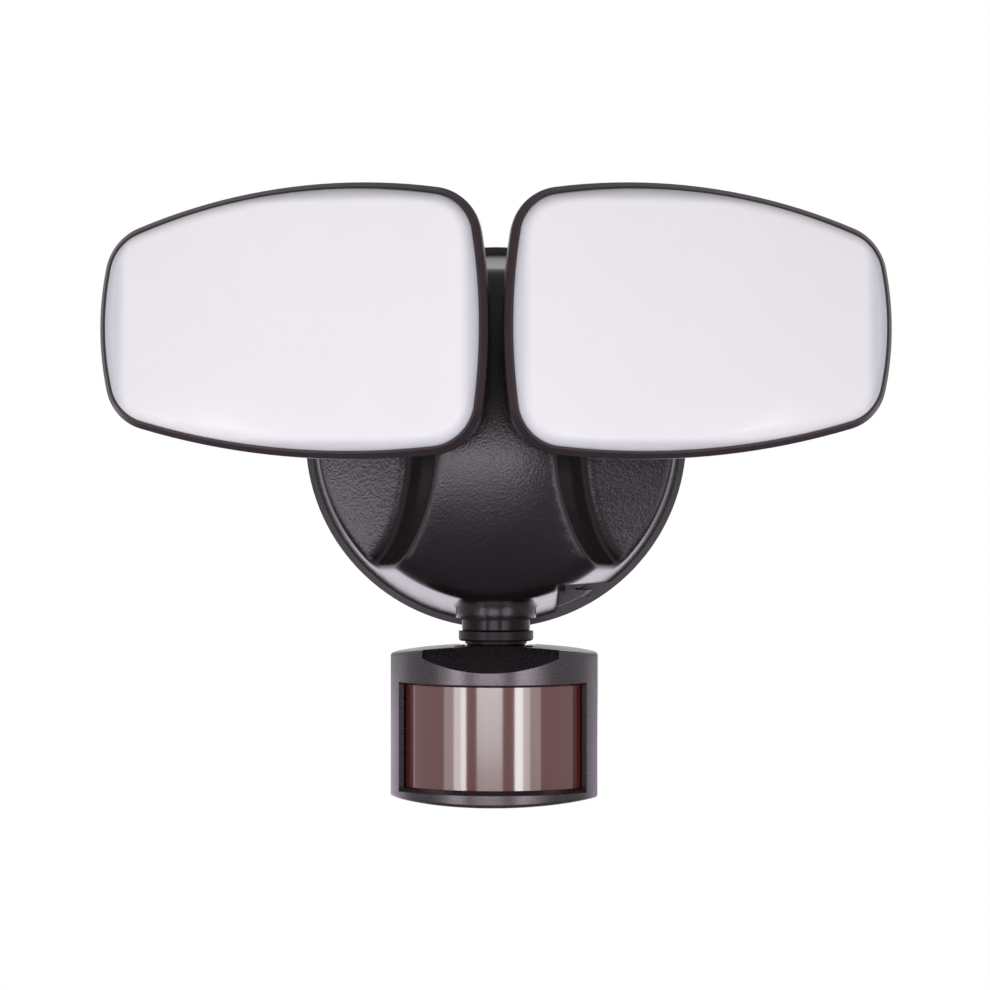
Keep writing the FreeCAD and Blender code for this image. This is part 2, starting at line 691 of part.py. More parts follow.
# ---- driver
def make_driver_board():
    board = box(
        (-DRIVER_WIDTH / 2, DRIVER_WIDTH / 2),
        (-DRIVER_DEPTH, -DRIVER_DEPTH + BOARD_THICKNESS),
        (-DRIVER_HEIGHT / 2, DRIVER_HEIGHT / 2),
    )
    holes = []
    depth = BOARD_THICKNESS + 2 * OVERCUT
    for sign_x in (-1, 1):
        for sign_z in (-1, 1):
            start = Vector(sign_x * DRIVER_POST_X, -DRIVER_DEPTH - OVERCUT, sign_z * DRIVER_POST_Z)
            holes.append(cylinder(DRIVER_SCREW_RADIUS + SCREW_GAP, start, start + Y_AXIS * depth))
    return board.cut(Part.makeCompound(holes))


def make_driver_screws():
    screws = []
    for sign_x in (-1, 1):
        for sign_z in (-1, 1):
            seat = Vector(
                sign_x * DRIVER_POST_X, -DRIVER_DEPTH + BOARD_THICKNESS, sign_z * DRIVER_POST_Z
            )
            screws.append(
                screw(
                    DRIVER_SCREW_RADIUS,
                    DRIVER_SCREW_LENGTH,
                    DRIVER_SCREW_HEAD_RADIUS,
                    DRIVER_SCREW_HEAD,
                    seat,
                    TOWARDS_VIEWER,
                )
            )
    return Part.makeCompound(screws)


def driver_component_face():
    """The y of the board's wall side, where the components stand."""
    return -DRIVER_DEPTH + BOARD_THICKNESS


def make_transformer():
    face = driver_component_face()
    half = TRANSFORMER_SIZE / 2
    low = TRANSFORMER_RISE - half
    high = TRANSFORMER_RISE + half
    core = box((-half, half), (face, face + TRANSFORMER_HEIGHT), (low, high))
    window = box(
        (-half - OVERCUT, -half + WINDING_GAP),
        (face + TRANSFORMER_LIMB, face + TRANSFORMER_HEIGHT - TRANSFORMER_LIMB),
        (low - OVERCUT, high + OVERCUT),
    )
    core = core.cut(window).cut(mirrored(window))
    middle = face + TRANSFORMER_HEIGHT / 2
    winding = cylinder(
        WINDING_RADIUS, Vector(0, middle, low - WINDING_PROUD), Vector(0, middle, high + WINDING_PROUD)
    )
    return core.fuse(winding)


def make_capacitors():
    face = driver_component_face()
    cans = []
    for x in (-CAPACITOR_X, CAPACITOR_X):
        start = Vector(x, face, CAPACITOR_Z)
        end = start + Y_AXIS * CAPACITOR_HEIGHT
        can = cylinder(CAPACITOR_RADIUS, start, end)
        rim = edges_where(can, lambda edge: edge.BoundBox.YMin > end.y - CAPACITOR_EDGE)
        cans.append(can.makeFillet(CAPACITOR_EDGE, rim))
    return Part.makeCompound(cans)


def make_terminal_block():
    face = driver_component_face()
    top = -DRIVER_HEIGHT / 2 + TERMINAL_RISE + TERMINAL_HEIGHT
    half = TERMINAL_WIDTH / 2
    block = box((-half, half), (face, face + TERMINAL_DEPTH), (top - TERMINAL_HEIGHT, top))
    pitch = TERMINAL_WIDTH / TERMINAL_WAYS
    holes = []
    for way in range(TERMINAL_WAYS):
        x = -half + pitch * (way + 0.5)
        entry = Vector(x, face + TERMINAL_HOLE_Y, top - TERMINAL_HEIGHT - OVERCUT)
        holes.append(cylinder(TERMINAL_HOLE, entry, entry + Z_AXIS * (TERMINAL_HOLE_DEPTH + OVERCUT)))
        screw_well = Vector(x, face + TERMINAL_WELL_Y, top - TERMINAL_HEIGHT / 2)
        holes.append(cylinder(TERMINAL_HOLE, screw_well, screw_well + Y_AXIS * TERMINAL_DEPTH))
    return block.cut(Part.makeCompound(holes))


# ---- sensor neck
def make_neck_seal():
    return lathe(
        [
            (NECK_THREAD_RADIUS + SCREW_GAP, SEAL_BOTTOM),
            (SEAL_RADIUS, SEAL_BOTTOM),
            (SEAL_RADIUS, BOSS_BOTTOM),
            (NECK_THREAD_RADIUS + SCREW_GAP, BOSS_BOTTOM),
        ],
        Vector(0, NECK_Y, 0),
    )


def make_sensor_neck():
    return lathe(
        [
            (NECK_BORE_RADIUS, NECK_BOTTOM),
            (NECK_RADIUS - SMALL_EDGE, NECK_BOTTOM),
            (NECK_RADIUS, NECK_BOTTOM + SMALL_EDGE),
            (NECK_RADIUS, SEAL_BOTTOM),
            (NECK_THREAD_RADIUS, SEAL_BOTTOM),
            (NECK_THREAD_RADIUS, NECK_TAIL_TOP),
            (NECK_BORE_RADIUS, NECK_TAIL_TOP),
        ],
        Vector(0, NECK_Y, 0),
    )


def make_neck_nut():
    nut = hexagon(NECK_NUT_WIDTH, NECK_NUT_HEIGHT, Vector(0, NECK_Y, BOSS_TOP), Z_AXIS)
    hole = cylinder(
        NECK_THREAD_RADIUS + SCREW_GAP,
        Vector(0, NECK_Y, BOSS_TOP - OVERCUT),
        Vector(0, NECK_Y, NECK_NUT_TOP + OVERCUT),
    )
    return nut.cut(hole)


def sensor_spigot_radius():
    return NECK_BORE_RADIUS - TURN_GAP


def make_sensor_ball():
    """Turning collar, its spigot up through the neck, and the ball below it."""
    spigot = sensor_spigot_radius()
    clip_bottom = NECK_TAIL_TOP + SEAT_GAP
    clip_top = clip_bottom + CLIP_THICKNESS
    spigot_top = clip_top + SPIGOT_END
    turned = lathe(
        [
            (0, SENSOR_BALL_Z),
            (STEM_RADIUS, SENSOR_BALL_Z),
            (STEM_RADIUS, STEP_BOTTOM),
            (STEP_RADIUS, STEP_BOTTOM),
            (STEP_RADIUS, COLLAR_BOTTOM),
            (COLLAR_RADIUS - COLLAR_EDGE, COLLAR_BOTTOM),
            (COLLAR_RADIUS, COLLAR_BOTTOM + COLLAR_EDGE),
            (COLLAR_RADIUS, COLLAR_TOP),
            (spigot, COLLAR_TOP),
            (spigot, clip_bottom),
            (spigot - CLIP_GROOVE, clip_bottom),
            (spigot - CLIP_GROOVE, clip_top),
            (spigot, clip_top),
            (spigot, spigot_top),
            (0, spigot_top),
        ],
        Vector(0, NECK_Y, 0),
    )
    centre = Vector(0, NECK_Y, SENSOR_BALL_Z)
    reach = SENSOR_BALL_RADIUS
    flat = cylinder(reach, centre.sub(Z_AXIS * BALL_FLAT), centre.add(Z_AXIS * BALL_FLAT))
    ball = Part.makeSphere(SENSOR_BALL_RADIUS, centre).common(flat)
    bore = cylinder(
        STEM_BORE_RADIUS,
        centre.sub(Z_AXIS * (BALL_FLAT + OVERCUT)),
        Vector(0, NECK_Y, spigot_top + OVERCUT),
    )
    return one_solid(turned.fuse(ball).cut(bore))


def make_neck_clip():
    """An open retaining washer in the spigot's groove."""
    inner = sensor_spigot_radius() - CLIP_GROOVE
    bottom = NECK_TAIL_TOP + SEAT_GAP
    ring = lathe(
        [
            (inner, bottom),
            (CLIP_RADIUS, bottom),
            (CLIP_RADIUS, bottom + CLIP_THICKNESS),
            (inner, bottom + CLIP_THICKNESS),
        ]
    )
    mouth = box(
        (-CLIP_MOUTH / 2, CLIP_MOUTH / 2),
        (0, CLIP_RADIUS + OVERCUT),
        (bottom - OVERCUT, bottom + CLIP_THICKNESS + OVERCUT),
    )
    clip = ring.cut(mouth)
    clip.translate(Vector(0, NECK_Y, 0))
    return clip


# ---- sensor case (drawn in its own frame, then turned to its rest pan)
def in_sensor_place(shape):
    placed = shape.copy()
    placed.rotate(ORIGIN, Z_AXIS, SENSOR_REST_PAN)
    placed.translate(Vector(0, NECK_Y, 0))
    return placed


def front_arc(front, half_width, side_y):
    """Radius and centre of the bowed front through the middle and both sides."""
    rise = front + side_y
    radius = (half_width * half_width + rise * rise) / (2 * rise)
    return radius, radius - front


def case_plan(inset):
    """The case seen from above: bowed front, straight sides, rounded back corners."""
    front = SENSOR_FRONT - inset
    half = SENSOR_HALF_WIDTH - inset
    back = SENSOR_BACK - inset
    corner = SENSOR_BACK_CORNER - inset
    diagonal = corner * (1 - math.sqrt(0.5))
    outline = [
        Part.Arc(
            Vector(-half, SENSOR_SIDE_Y, 0), Vector(0, -front, 0), Vector(half, SENSOR_SIDE_Y, 0)
        ).toShape(),
        Part.makeLine(Vector(half, SENSOR_SIDE_Y, 0), Vector(half, back - corner, 0)),
        Part.Arc(
            Vector(half, back - corner, 0),
            Vector(half - diagonal, back - diagonal, 0),
            Vector(half - corner, back, 0),
        ).toShape(),
        Part.makeLine(Vector(half - corner, back, 0), Vector(corner - half, back, 0)),
        Part.Arc(
            Vector(corner - half, back, 0),
            Vector(diagonal - half, back - diagonal, 0),
            Vector(-half, back - corner, 0),
        ).toShape(),
        Part.makeLine(Vector(-half, back - corner, 0), Vector(-half, SENSOR_SIDE_Y, 0)),
    ]
    return Part.Face(Part.Wire(outline))


def case_side(inset):
    """The case seen from the front: crowned top and bottom."""
    half = SENSOR_HALF_WIDTH + OVERCUT
    top = SENSOR_TOP - inset
    bottom = SENSOR_BOTTOM + inset
    top_edge = top - SENSOR_TOP_CROWN
    bottom_edge = bottom + SENSOR_BOTTOM_CROWN
    y = -SENSOR_FRONT - OVERCUT
    outline = [
        Part.Arc(Vector(-half, y, top_edge), Vector(0, y, top), Vector(half, y, top_edge)).toShape(),
        Part.makeLine(Vector(half, y, top_edge), Vector(half, y, bottom_edge)),
        Part.Arc(
            Vector(half, y, bottom_edge), Vector(0, y, bottom), Vector(-half, y, bottom_edge)
        ).toShape(),
        Part.makeLine(Vector(-half, y, bottom_edge), Vector(-half, y, top_edge)),
    ]
    return Part.Face(Part.Wire(outline)).extrude(Vector(0, SENSOR_FRONT + SENSOR_BACK + 2 * OVERCUT, 0))


def wedge(x_half, points):
    """A prism across the case from (y, z) points."""
    outline = [Vector(-x_half, y, z) for y, z in points]
    outline.append(outline[0])
    return Part.Face(Part.makePolygon(outline)).extrude(Vector(2 * x_half, 0, 0))


def tilt_recess(radius, underside, grow):
    """The room in the case's top for a disc of the neck that it swings under when tilted."""
    rise = underside - SENSOR_BALL_Z - RECESS_GAP - grow
    front = RECESS_FRONT + grow
    back = SENSOR_BACK + OVERCUT
    up = math.radians(TILT_UP)
    down = math.radians(TILT_DOWN)
    floor = [
        (-front, (rise - front * math.sin(up)) / math.cos(up)),
        (-rise * math.tan(up / 2), rise),
        (rise * math.tan(down / 2), rise),
        (back, (rise - back * math.sin(down)) / math.cos(down)),
    ]
    lid = SENSOR_TOP - SENSOR_BALL_Z + COLLAR_RADIUS
    outline = [(y, SENSOR_BALL_Z + height) for y, height in floor + [(back, lid), (-front, lid)]]
    return wedge(radius + RECESS_GAP + grow, outline)


def case_form(inset):
    """The case's outside, or its inside when inset by the wall."""
    height = SENSOR_TOP - SENSOR_BOTTOM + 2 * OVERCUT
    prism = case_plan(inset).extrude(Vector(0, 0, height))
    prism.translate(Vector(0, 0, SENSOR_BOTTOM - OVERCUT))
    form = prism.common(case_side(inset))
    if inset == 0:
        rims = edges_where(form, lambda edge: not upright(edge))
        form = form.makeFillet(SENSOR_EDGE_RADIUS, rims)
    half = SENSOR_HALF_WIDTH + OVERCUT
    lean = inset * math.sqrt(2)
    heel_z = SENSOR_BOTTOM + SENSOR_HEEL + lean
    heel = wedge(
        half,
        [
            (SENSOR_BACK, heel_z),
            (SENSOR_BACK + 2 * OVERCUT, SENSOR_BOTTOM - OVERCUT),
            (SENSOR_BACK - SENSOR_HEEL - lean - OVERCUT, SENSOR_BOTTOM - OVERCUT),
        ],
    )
    slope = math.tan(math.radians(SCOOP_SLOPE))
    drop = inset / math.cos(math.radians(SCOOP_SLOPE))
    front_z = SCOOP_FRONT_Z - drop
    run = SENSOR_FRONT + OVERCUT
    scoop = wedge(
        SCOOP_HALF_WIDTH + inset,
        [
            (-run, front_z - OVERCUT * slope),
            (-run, front_z + run),
            (-SENSOR_FRONT + run, front_z + run * slope),
        ],
    )
    form = form.cut(heel).cut(scoop)
    form = form.cut(tilt_recess(COLLAR_RADIUS, COLLAR_BOTTOM, inset))
    return form.cut(tilt_recess(STEP_RADIUS, STEP_BOTTOM, inset))


def ring_sector(inner, outer, centre_y, levels):
    """A ring about a vertical axis whose section is given at its inner and outer radius."""
    inner_low, inner_high, outer_low, outer_high = levels
    return lathe(
        [(inner, inner_low), (outer, outer_low), (outer, outer_high), (inner, inner_high)],
        Vector(0, centre_y, 0),
    )


def window_cutter():
    """The lens window: bevelled all round, with mitred corners."""
    radius, centre_y = front_arc(SENSOR_FRONT, SENSOR_HALF_WIDTH, SENSOR_SIDE_Y)
    lens_radius = PIR_RADIUS
    lens_centre = PIR_RADIUS - PIR_FRONT
    bevel = ring_sector(
        lens_radius,
        radius + 2 * OVERCUT,
        (centre_y + lens_centre) / 2,
        (GLASS_BOTTOM, GLASS_TOP, FRAME_BOTTOM, FRAME_TOP),
    )
    side_y = lens_centre - math.sqrt(lens_radius**2 - GLASS_HALF_WIDTH**2)
    jamb_y = side_y - FRAME_JAMB
    front_y = -SENSOR_FRONT - OVERCUT
    corners = [
        (-GLASS_HALF_WIDTH, side_y),
        (-FRAME_HALF_WIDTH, jamb_y),
        (-FRAME_HALF_WIDTH, front_y),
        (FRAME_HALF_WIDTH, front_y),
        (FRAME_HALF_WIDTH, jamb_y),
        (GLASS_HALF_WIDTH, side_y),
    ]
    points = [Vector(x, y, SENSOR_BOTTOM) for x, y in corners]
    points.append(points[0])
    limits = Part.Face(Part.makePolygon(points)).extrude(Vector(0, 0, SENSOR_TOP - SENSOR_BOTTOM))
    through = box(
        (-GLASS_HALF_WIDTH, GLASS_HALF_WIDTH),
        (front_y, side_y + 2 * SENSOR_WALL),
        (GLASS_BOTTOM, GLASS_TOP),
    )
    return bevel.common(limits).fuse(through)


def lens_band(outer, inner, low, high, half_width):
    """A bowed strip of the sensor lens's curvature."""
    centre = Vector(0, PIR_RADIUS - PIR_FRONT, low)
    tube = Part.makeCylinder(outer, high - low, centre).cut(Part.makeCylinder(inner, high - low, centre))
    front = box(
        (-half_width, half_width), (-PIR_RADIUS, SENSOR_BOARD_Y), (low - OVERCUT, high + OVERCUT)
    )
    return tube.common(front)


def socket_form():
    """The cup round the sensor ball and its cavity."""
    centre = Vector(0, 0, SENSOR_BALL_Z)
    cavity_radius = SENSOR_BALL_RADIUS + BALL_GAP
    return Part.makeSphere(cavity_radius + SOCKET_WALL, centre), Part.makeSphere(cavity_radius, centre)


def case_screw_places():
    return [(sign * CASE_SCREW_X, z) for sign in (-1, 1) for z in (CASE_SCREW_HIGH_Z, CASE_SCREW_LOW_Z)]


def dial_places():
    return {"time_dial": -DIAL_X, "range_dial": DIAL_X}


def bottom_at(x):
    """Height of the crowned underside at x."""
    half = SENSOR_HALF_WIDTH + OVERCUT
    radius = (half * half + SENSOR_BOTTOM_CROWN**2) / (2 * SENSOR_BOTTOM_CROWN)
    return SENSOR_BOTTOM + radius - math.sqrt(radius * radius - x * x)


def case_halves():
    """The hood in front and the cover behind, split through the ball's centre."""
    shell = case_form(0).cut(case_form(SENSOR_WALL))
    cup, cavity = socket_form()
    inside = case_form(0)
    shell = shell.fuse(cup.common(inside))
    for x, z in case_screw_places():
        boss_start = Vector(x, SENSOR_BACK - CASE_SCREW_LENGTH - CASE_SCREW_DEPTH - SENSOR_WALL, z)
        boss = cylinder(CASE_BOSS_RADIUS, boss_start, Vector(x, SENSOR_BACK, z))
        shell = shell.fuse(boss.common(inside))
    for sign in (-1, 1):
        foot = Vector(sign * CONTROL_POST_X, CONTROL_POST_Y, SENSOR_BOTTOM)
        head = Vector(foot.x, foot.y, CONTROL_BOARD_BOTTOM)
        shell = shell.fuse(cylinder(CONTROL_POST_RADIUS, foot, head).common(inside))
    shell = shell.cut(cavity).cut(window_cutter())
    seat = lens_band(
        PIR_RADIUS + TURN_GAP,
        PIR_RADIUS - PIR_WALL - LENS_SEAT_DEPTH,
        GLASS_BOTTOM - PIR_LAP - TURN_GAP,
        GLASS_TOP + PIR_LAP + TURN_GAP,
        GLASS_HALF_WIDTH + PIR_LAP + TURN_GAP,
    )
    shell = shell.cut(seat)
    cutters = []
    for x in dial_places().values():
        low = Vector(x, DIAL_Y, SENSOR_BOTTOM - OVERCUT)
        cutters.append(cylinder(DIAL_RADIUS + SLIDE_GAP, low, low + Z_AXIS * CONTROL_BOARD_GAP))
    slide_half = SWITCH_HALF_LENGTH + SWITCH_TRAVEL + SLIDE_GAP
    switch_half = SWITCH_HALF_WIDTH + SLIDE_GAP
    cutters.append(
        box(
            (-slide_half, slide_half),
            (DIAL_Y - switch_half, DIAL_Y + switch_half),
            (SENSOR_BOTTOM - OVERCUT, SENSOR_BOTTOM + CONTROL_BOARD_GAP - SEAT_GAP),
        )
    )
    for x, z in case_screw_places():
        tip = Vector(x, SENSOR_BACK - CASE_SCREW_DEPTH - CASE_SCREW_LENGTH - SEAT_GAP, z)
        seat_at = Vector(x, SENSOR_BACK - CASE_SCREW_DEPTH, z)
        cutters.append(cylinder(CASE_SCREW_RADIUS + SCREW_GAP, tip, seat_at))
        well_end = seat_at + Y_AXIS * (CASE_SCREW_DEPTH + OVERCUT)
        cutters.append(cylinder(CASE_SCREW_HEAD_RADIUS + SCREW_GAP, seat_at, well_end))
    shell = shell.cut(Part.makeCompound(cutters))
    reach = 2 * SENSOR_HALF_WIDTH
    front_half = box((-reach, reach), (-reach, 0), (2 * SENSOR_BOTTOM, 0))
    back_half = box((-reach, reach), (0, reach), (2 * SENSOR_BOTTOM, 0))
    return one_solid(shell.common(front_half)), one_solid(shell.common(back_half))


def make_pir_lens():
    lens = lens_band(
        PIR_RADIUS,
        PIR_RADIUS - PIR_WALL,
        GLASS_BOTTOM - PIR_LAP,
        GLASS_TOP + PIR_LAP,
        GLASS_HALF_WIDTH + PIR_LAP,
    )
    return one_solid(lens)


def make_sensor_board():
    """The upright board, stood on the control board and reaching up under the ball's cup."""
    return box(
        (-SENSOR_BOARD_HALF_WIDTH, SENSOR_BOARD_HALF_WIDTH),
        (SENSOR_BOARD_Y, SENSOR_BOARD_Y + BOARD_THICKNESS),
        (SENSOR_BOARD_BOTTOM, SENSOR_BOARD_TOP),
    )


def make_detector():
    """The pyroelectric detector: a flanged can with its square window."""
    back = Vector(0, SENSOR_BOARD_Y, DETECTOR_Z)
    can = lathe(
        [
            (0, 0),
            (DETECTOR_RADIUS, 0),
            (DETECTOR_RADIUS, DETECTOR_FLANGE),
            (DETECTOR_RADIUS - SMALL_EDGE, DETECTOR_FLANGE),
            (DETECTOR_RADIUS - SMALL_EDGE, DETECTOR_HEIGHT),
            (0, DETECTOR_HEIGHT),
        ],
        back,
        TOWARDS_VIEWER,
    )
    front = SENSOR_BOARD_Y - DETECTOR_HEIGHT
    half_width = DETECTOR_WINDOW_WIDTH / 2
    half_height = DETECTOR_WINDOW_HEIGHT / 2
    window = box(
        (-half_width, half_width),
        (front - OVERCUT, front + SMALL_EDGE),
        (DETECTOR_Z - half_height, DETECTOR_Z + half_height),
    )
    return can.cut(window)


def make_photocell():
    back = Vector(PHOTOCELL_X, SENSOR_BOARD_Y, DETECTOR_Z)
    return cylinder(PHOTOCELL_RADIUS, back, back + TOWARDS_VIEWER * PHOTOCELL_HEIGHT)


def make_control_board():
    return box(
        (-SENSOR_BOARD_HALF_WIDTH, SENSOR_BOARD_HALF_WIDTH),
        (CONTROL_BOARD_BACK - CONTROL_BOARD_DEPTH, CONTROL_BOARD_BACK),
        (CONTROL_BOARD_BOTTOM, CONTROL_BOARD_BOTTOM + BOARD_THICKNESS),
    )


def make_dial(x):
    """A slotted adjusting dial, its face just inside the case's underside."""
    face = bottom_at(x) + DIAL_RECESS
    top = CONTROL_BOARD_BOTTOM - SEAT_GAP
    dial = lathe(
        [
            (0, face),
            (DIAL_RADIUS - SMALL_EDGE, face),
            (DIAL_RADIUS, face + SMALL_EDGE),
            (DIAL_RADIUS, face + DIAL_HEIGHT),
            (DIAL_HUB_RADIUS, face + DIAL_HEIGHT),
            (DIAL_HUB_RADIUS, top),
            (0, top),
        ],
        Vector(x, DIAL_Y, 0),
    )
    half_slot = DIAL_SLOT / 2
    slot = box(
        (x - DIAL_SLOT_LENGTH / 2, x + DIAL_SLOT_LENGTH / 2),
        (DIAL_Y - half_slot, DIAL_Y + half_slot),
        (face - OVERCUT, face + DIAL_SLOT_DEPTH),
    )
    return dial.cut(slot)


def make_mode_switch():
    face = bottom_at(0) + DIAL_RECESS
    top = CONTROL_BOARD_BOTTOM - SEAT_GAP
    return box(
        (-SWITCH_HALF_LENGTH, SWITCH_HALF_LENGTH),
        (DIAL_Y - SWITCH_HALF_WIDTH, DIAL_Y + SWITCH_HALF_WIDTH),
        (face, top),
    )


def make_case_screws():
    seat_y = SENSOR_BACK - CASE_SCREW_DEPTH
    screws = [
        screw(
            CASE_SCREW_RADIUS,
            CASE_SCREW_LENGTH,
            CASE_SCREW_HEAD_RADIUS,
            CASE_SCREW_HEAD,
            Vector(x, seat_y, z),
            TOWARDS_VIEWER,
        )
        for x, z in case_screw_places()
    ]
    return Part.makeCompound(screws)


# ---- arms (right-hand side)
def make_arm():
    """One casting: threaded tail, flange on the pocket floor, tapered stem and ball."""
    along = HEAD_PIVOT.sub(ARM_ROOT).normalize()
    seat = ARM_ROOT + TOWARDS_VIEWER * ARM_SEAL_THICKNESS
    flange_top = seat + TOWARDS_VIEWER * ARM_FLANGE_HEIGHT
    flange = lathe(
        [
            (0, 0),
            (ARM_FLANGE_RADIUS, 0),
            (ARM_FLANGE_RADIUS, ARM_FLANGE_HEIGHT - ARM_FLANGE_EDGE),
            (ARM_FLANGE_RADIUS - ARM_FLANGE_EDGE, ARM_FLANGE_HEIGHT),
            (0, ARM_FLANGE_HEIGHT),
        ],
        seat,
        TOWARDS_VIEWER,
    )
    stem_start = flange_top.sub(along * ARM_SINK)
    stem = cylinder(ARM_RADIUS, stem_start, HEAD_PIVOT)
    taper = Part.makeCone(ARM_ROOT_RADIUS, ARM_RADIUS, ARM_CONE_LENGTH, stem_start, along)
    ball = Part.makeSphere(HEAD_BALL_RADIUS, HEAD_PIVOT)
    tail_end = ARM_ROOT + Y_AXIS * (CANOPY_WALL + ARM_NUT_HEIGHT + ARM_TAIL)
    tail = cylinder(ARM_THREAD_RADIUS, seat, tail_end)
    behind_seat = cylinder(2 * ARM_FLANGE_RADIUS, seat, tail_end)
    stem = stem.fuse(taper).cut(behind_seat)
    arm = flange.multiFuse([stem, ball, tail])
    front_pole = HEAD_PIVOT + along * (HEAD_BALL_RADIUS + OVERCUT)
    bore = cylinder(ARM_BORE_RADIUS, seat, front_pole)
    tail_bore = cylinder(ARM_BORE_RADIUS, seat, tail_end + Y_AXIS * OVERCUT)
    elbow = Part.makeSphere(ARM_BORE_RADIUS, seat)
    return one_solid(arm.cut(Part.makeCompound([bore, tail_bore, elbow])))


def make_arm_seal():
    inner = ARM_THREAD_RADIUS + SCREW_GAP
    outer = ARM_FLANGE_RADIUS - SMALL_EDGE
    section = [(inner, 0), (outer, 0), (outer, ARM_SEAL_THICKNESS), (inner, ARM_SEAL_THICKNESS)]
    return lathe(section, ARM_ROOT, TOWARDS_VIEWER)


def make_arm_nut():
    face = ARM_ROOT + Y_AXIS * CANOPY_WALL
    nut = hexagon(ARM_NUT_WIDTH, ARM_NUT_HEIGHT, face, Y_AXIS)
    hole_end = face + Y_AXIS * (ARM_NUT_HEIGHT + OVERCUT)
    hole = cylinder(ARM_THREAD_RADIUS + SCREW_GAP, face - Y_AXIS * OVERCUT, hole_end)
    return nut.cut(hole)


# ---- heads (right-hand side, in the head's own frame)
def head_placement():
    """Turns the head's frame (x outwards, y up, z forwards) to its rest pan and tilt."""
    upright_turn = FreeCAD.Rotation(X_AXIS, 90)
    tilt = FreeCAD.Rotation(X_AXIS, -HEAD_TILT)
    pan = FreeCAD.Rotation(Z_AXIS, HEAD_PAN)
    return FreeCAD.Placement(HEAD_PIVOT, pan.multiply(tilt).multiply(upright_turn))


def in_head_place(shape):
    placed = shape.copy()
    placed.Placement = head_placement().multiply(shape.Placement)
    return placed


def head_prism(inset, low, high):
    """The head's four bowed sides and rounded corners, moved in by inset."""
    prism = None
    for centre_x, centre_y, radius in (HEAD_TOP_ARC, HEAD_BOTTOM_ARC, HEAD_INNER_ARC, HEAD_OUTER_ARC):
        disc = Part.makeCylinder(radius - inset, high - low, Vector(centre_x, centre_y, low))
        prism = disc if prism is None else prism.common(disc)
    corners = edges_where(prism, upright)
    return prism.makeFillet(HEAD_CORNER - inset, corners)


def make_bezel():
    """The frame round the lens: an upright skirt, a bevelled front and a lip over the lens."""
    back = HOUSING_FRONT
    body = head_prism(0, back, RIM_FRONT)
    front_rim = edges_where(body, lambda edge: level_at(edge, RIM_FRONT))
    body = body.makeChamfer(RIM_SLOPE_DEPTH, RIM_SLOPE_WIDTH, front_rim)
    back_rim = edges_where(body, lambda edge: level_at(edge, back))
    body = body.makeChamfer(BEZEL_BACK_DEPTH, BEZEL_BACK_WIDTH, back_rim)
    mouth = head_prism(RIM_SLOPE_WIDTH + RIM_LIP, LENS_FLANGE_FRONT - OVERCUT, RIM_FRONT + OVERCUT)
    well = head_prism(BEZEL_WALL, back - OVERCUT, LENS_FLANGE_FRONT)
    lug_limit = head_prism(BEZEL_BACK_WIDTH + SMALL_EDGE / 2, back, LUG_FRONT)
    lugs = []
    holes = []
    for x, y in bezel_screw_places():
        lugs.append(lug_form(x, y, 0, back, LUG_FRONT).common(lug_limit))
        holes.append(Part.makeCylinder(BEZEL_SCREW_RADIUS + SCREW_GAP, BEZEL_DEPTH, Vector(x, y, back)))
    frame = body.cut(mouth).cut(well).multiFuse(lugs)
    return one_solid(frame.cut(Part.makeCompound(holes)))


def lens_dome(inset, low, high):
    """The lens's raised part, its front bowed and its shoulder rounded."""
    edge_inset = RIM_SLOPE_WIDTH + RIM_LIP + LENS_GAP + inset
    crown = high - inset
    body = head_prism(edge_inset, low, crown)
    centre = HEAD_MIDDLE + Z_AXIS * (crown - LENS_CROWN_RADIUS)
    body = body.common(Part.makeSphere(LENS_CROWN_RADIUS, centre))
    front = edges_where(body, lambda edge: edge.BoundBox.ZMin > (low + crown) / 2)
    return body.makeFillet(LENS_SHOULDER - inset, front)


def make_lens():
    top = RIM_FRONT + LENS_CROWN
    dome = lens_dome(0, LENS_FLANGE_BACK, top)
    flange_inset = BEZEL_WALL + SEAT_GAP
    flange = head_prism(flange_inset, LENS_FLANGE_BACK, LENS_FLANGE_FRONT - LENS_GAP)
    hollow = lens_dome(LENS_WALL, LENS_FLANGE_BACK - OVERCUT, top)
    return one_solid(dome.fuse(flange).cut(hollow))


def make_lens_gasket():
    outer = head_prism(BEZEL_WALL + SEAT_GAP, LENS_FLANGE_BACK - GASKET_SECTION, LENS_FLANGE_BACK)
    inner = head_prism(
        BEZEL_WALL + SEAT_GAP + LENS_GASKET_WIDTH,
        LENS_FLANGE_BACK - GASKET_SECTION - OVERCUT,
        LENS_FLANGE_BACK + OVERCUT,
    )
    return outer.cut(inner)


def bezel_screw_places():
    """Six screws just inside the skirt, as (x, y) in the head's frame."""
    places = []
    top_x, top_y, top_radius = HEAD_TOP_ARC
    low_x, low_y, low_radius = HEAD_BOTTOM_ARC
    inset = HOUSING_INSET + BEZEL_BOSS_RADIUS + BEZEL_BOSS_INSET
    for x in (-BEZEL_SCREW_X, 0.0, BEZEL_SCREW_X):
        places.append((x, top_y + math.sqrt((top_radius - inset) ** 2 - (x - top_x) ** 2)))
        places.append((x, low_y - math.sqrt((low_radius - inset) ** 2 - (x - low_x) ** 2)))
    return places


def lug_form(x, y, grow, low, high):
    """A round-ended lug from a bezel screw out past the head's edge, grown by a margin."""
    radius = BEZEL_BOSS_RADIUS + grow
    end = Part.makeCylinder(radius, high - low, Vector(x, y, low))
    outward = math.copysign(2 * BEZEL_BOSS_RADIUS + HOUSING_INSET + grow, y)
    neck = box((x - radius, x + radius), sorted((y, y + outward)), (low, high))
    return end.fuse(neck)


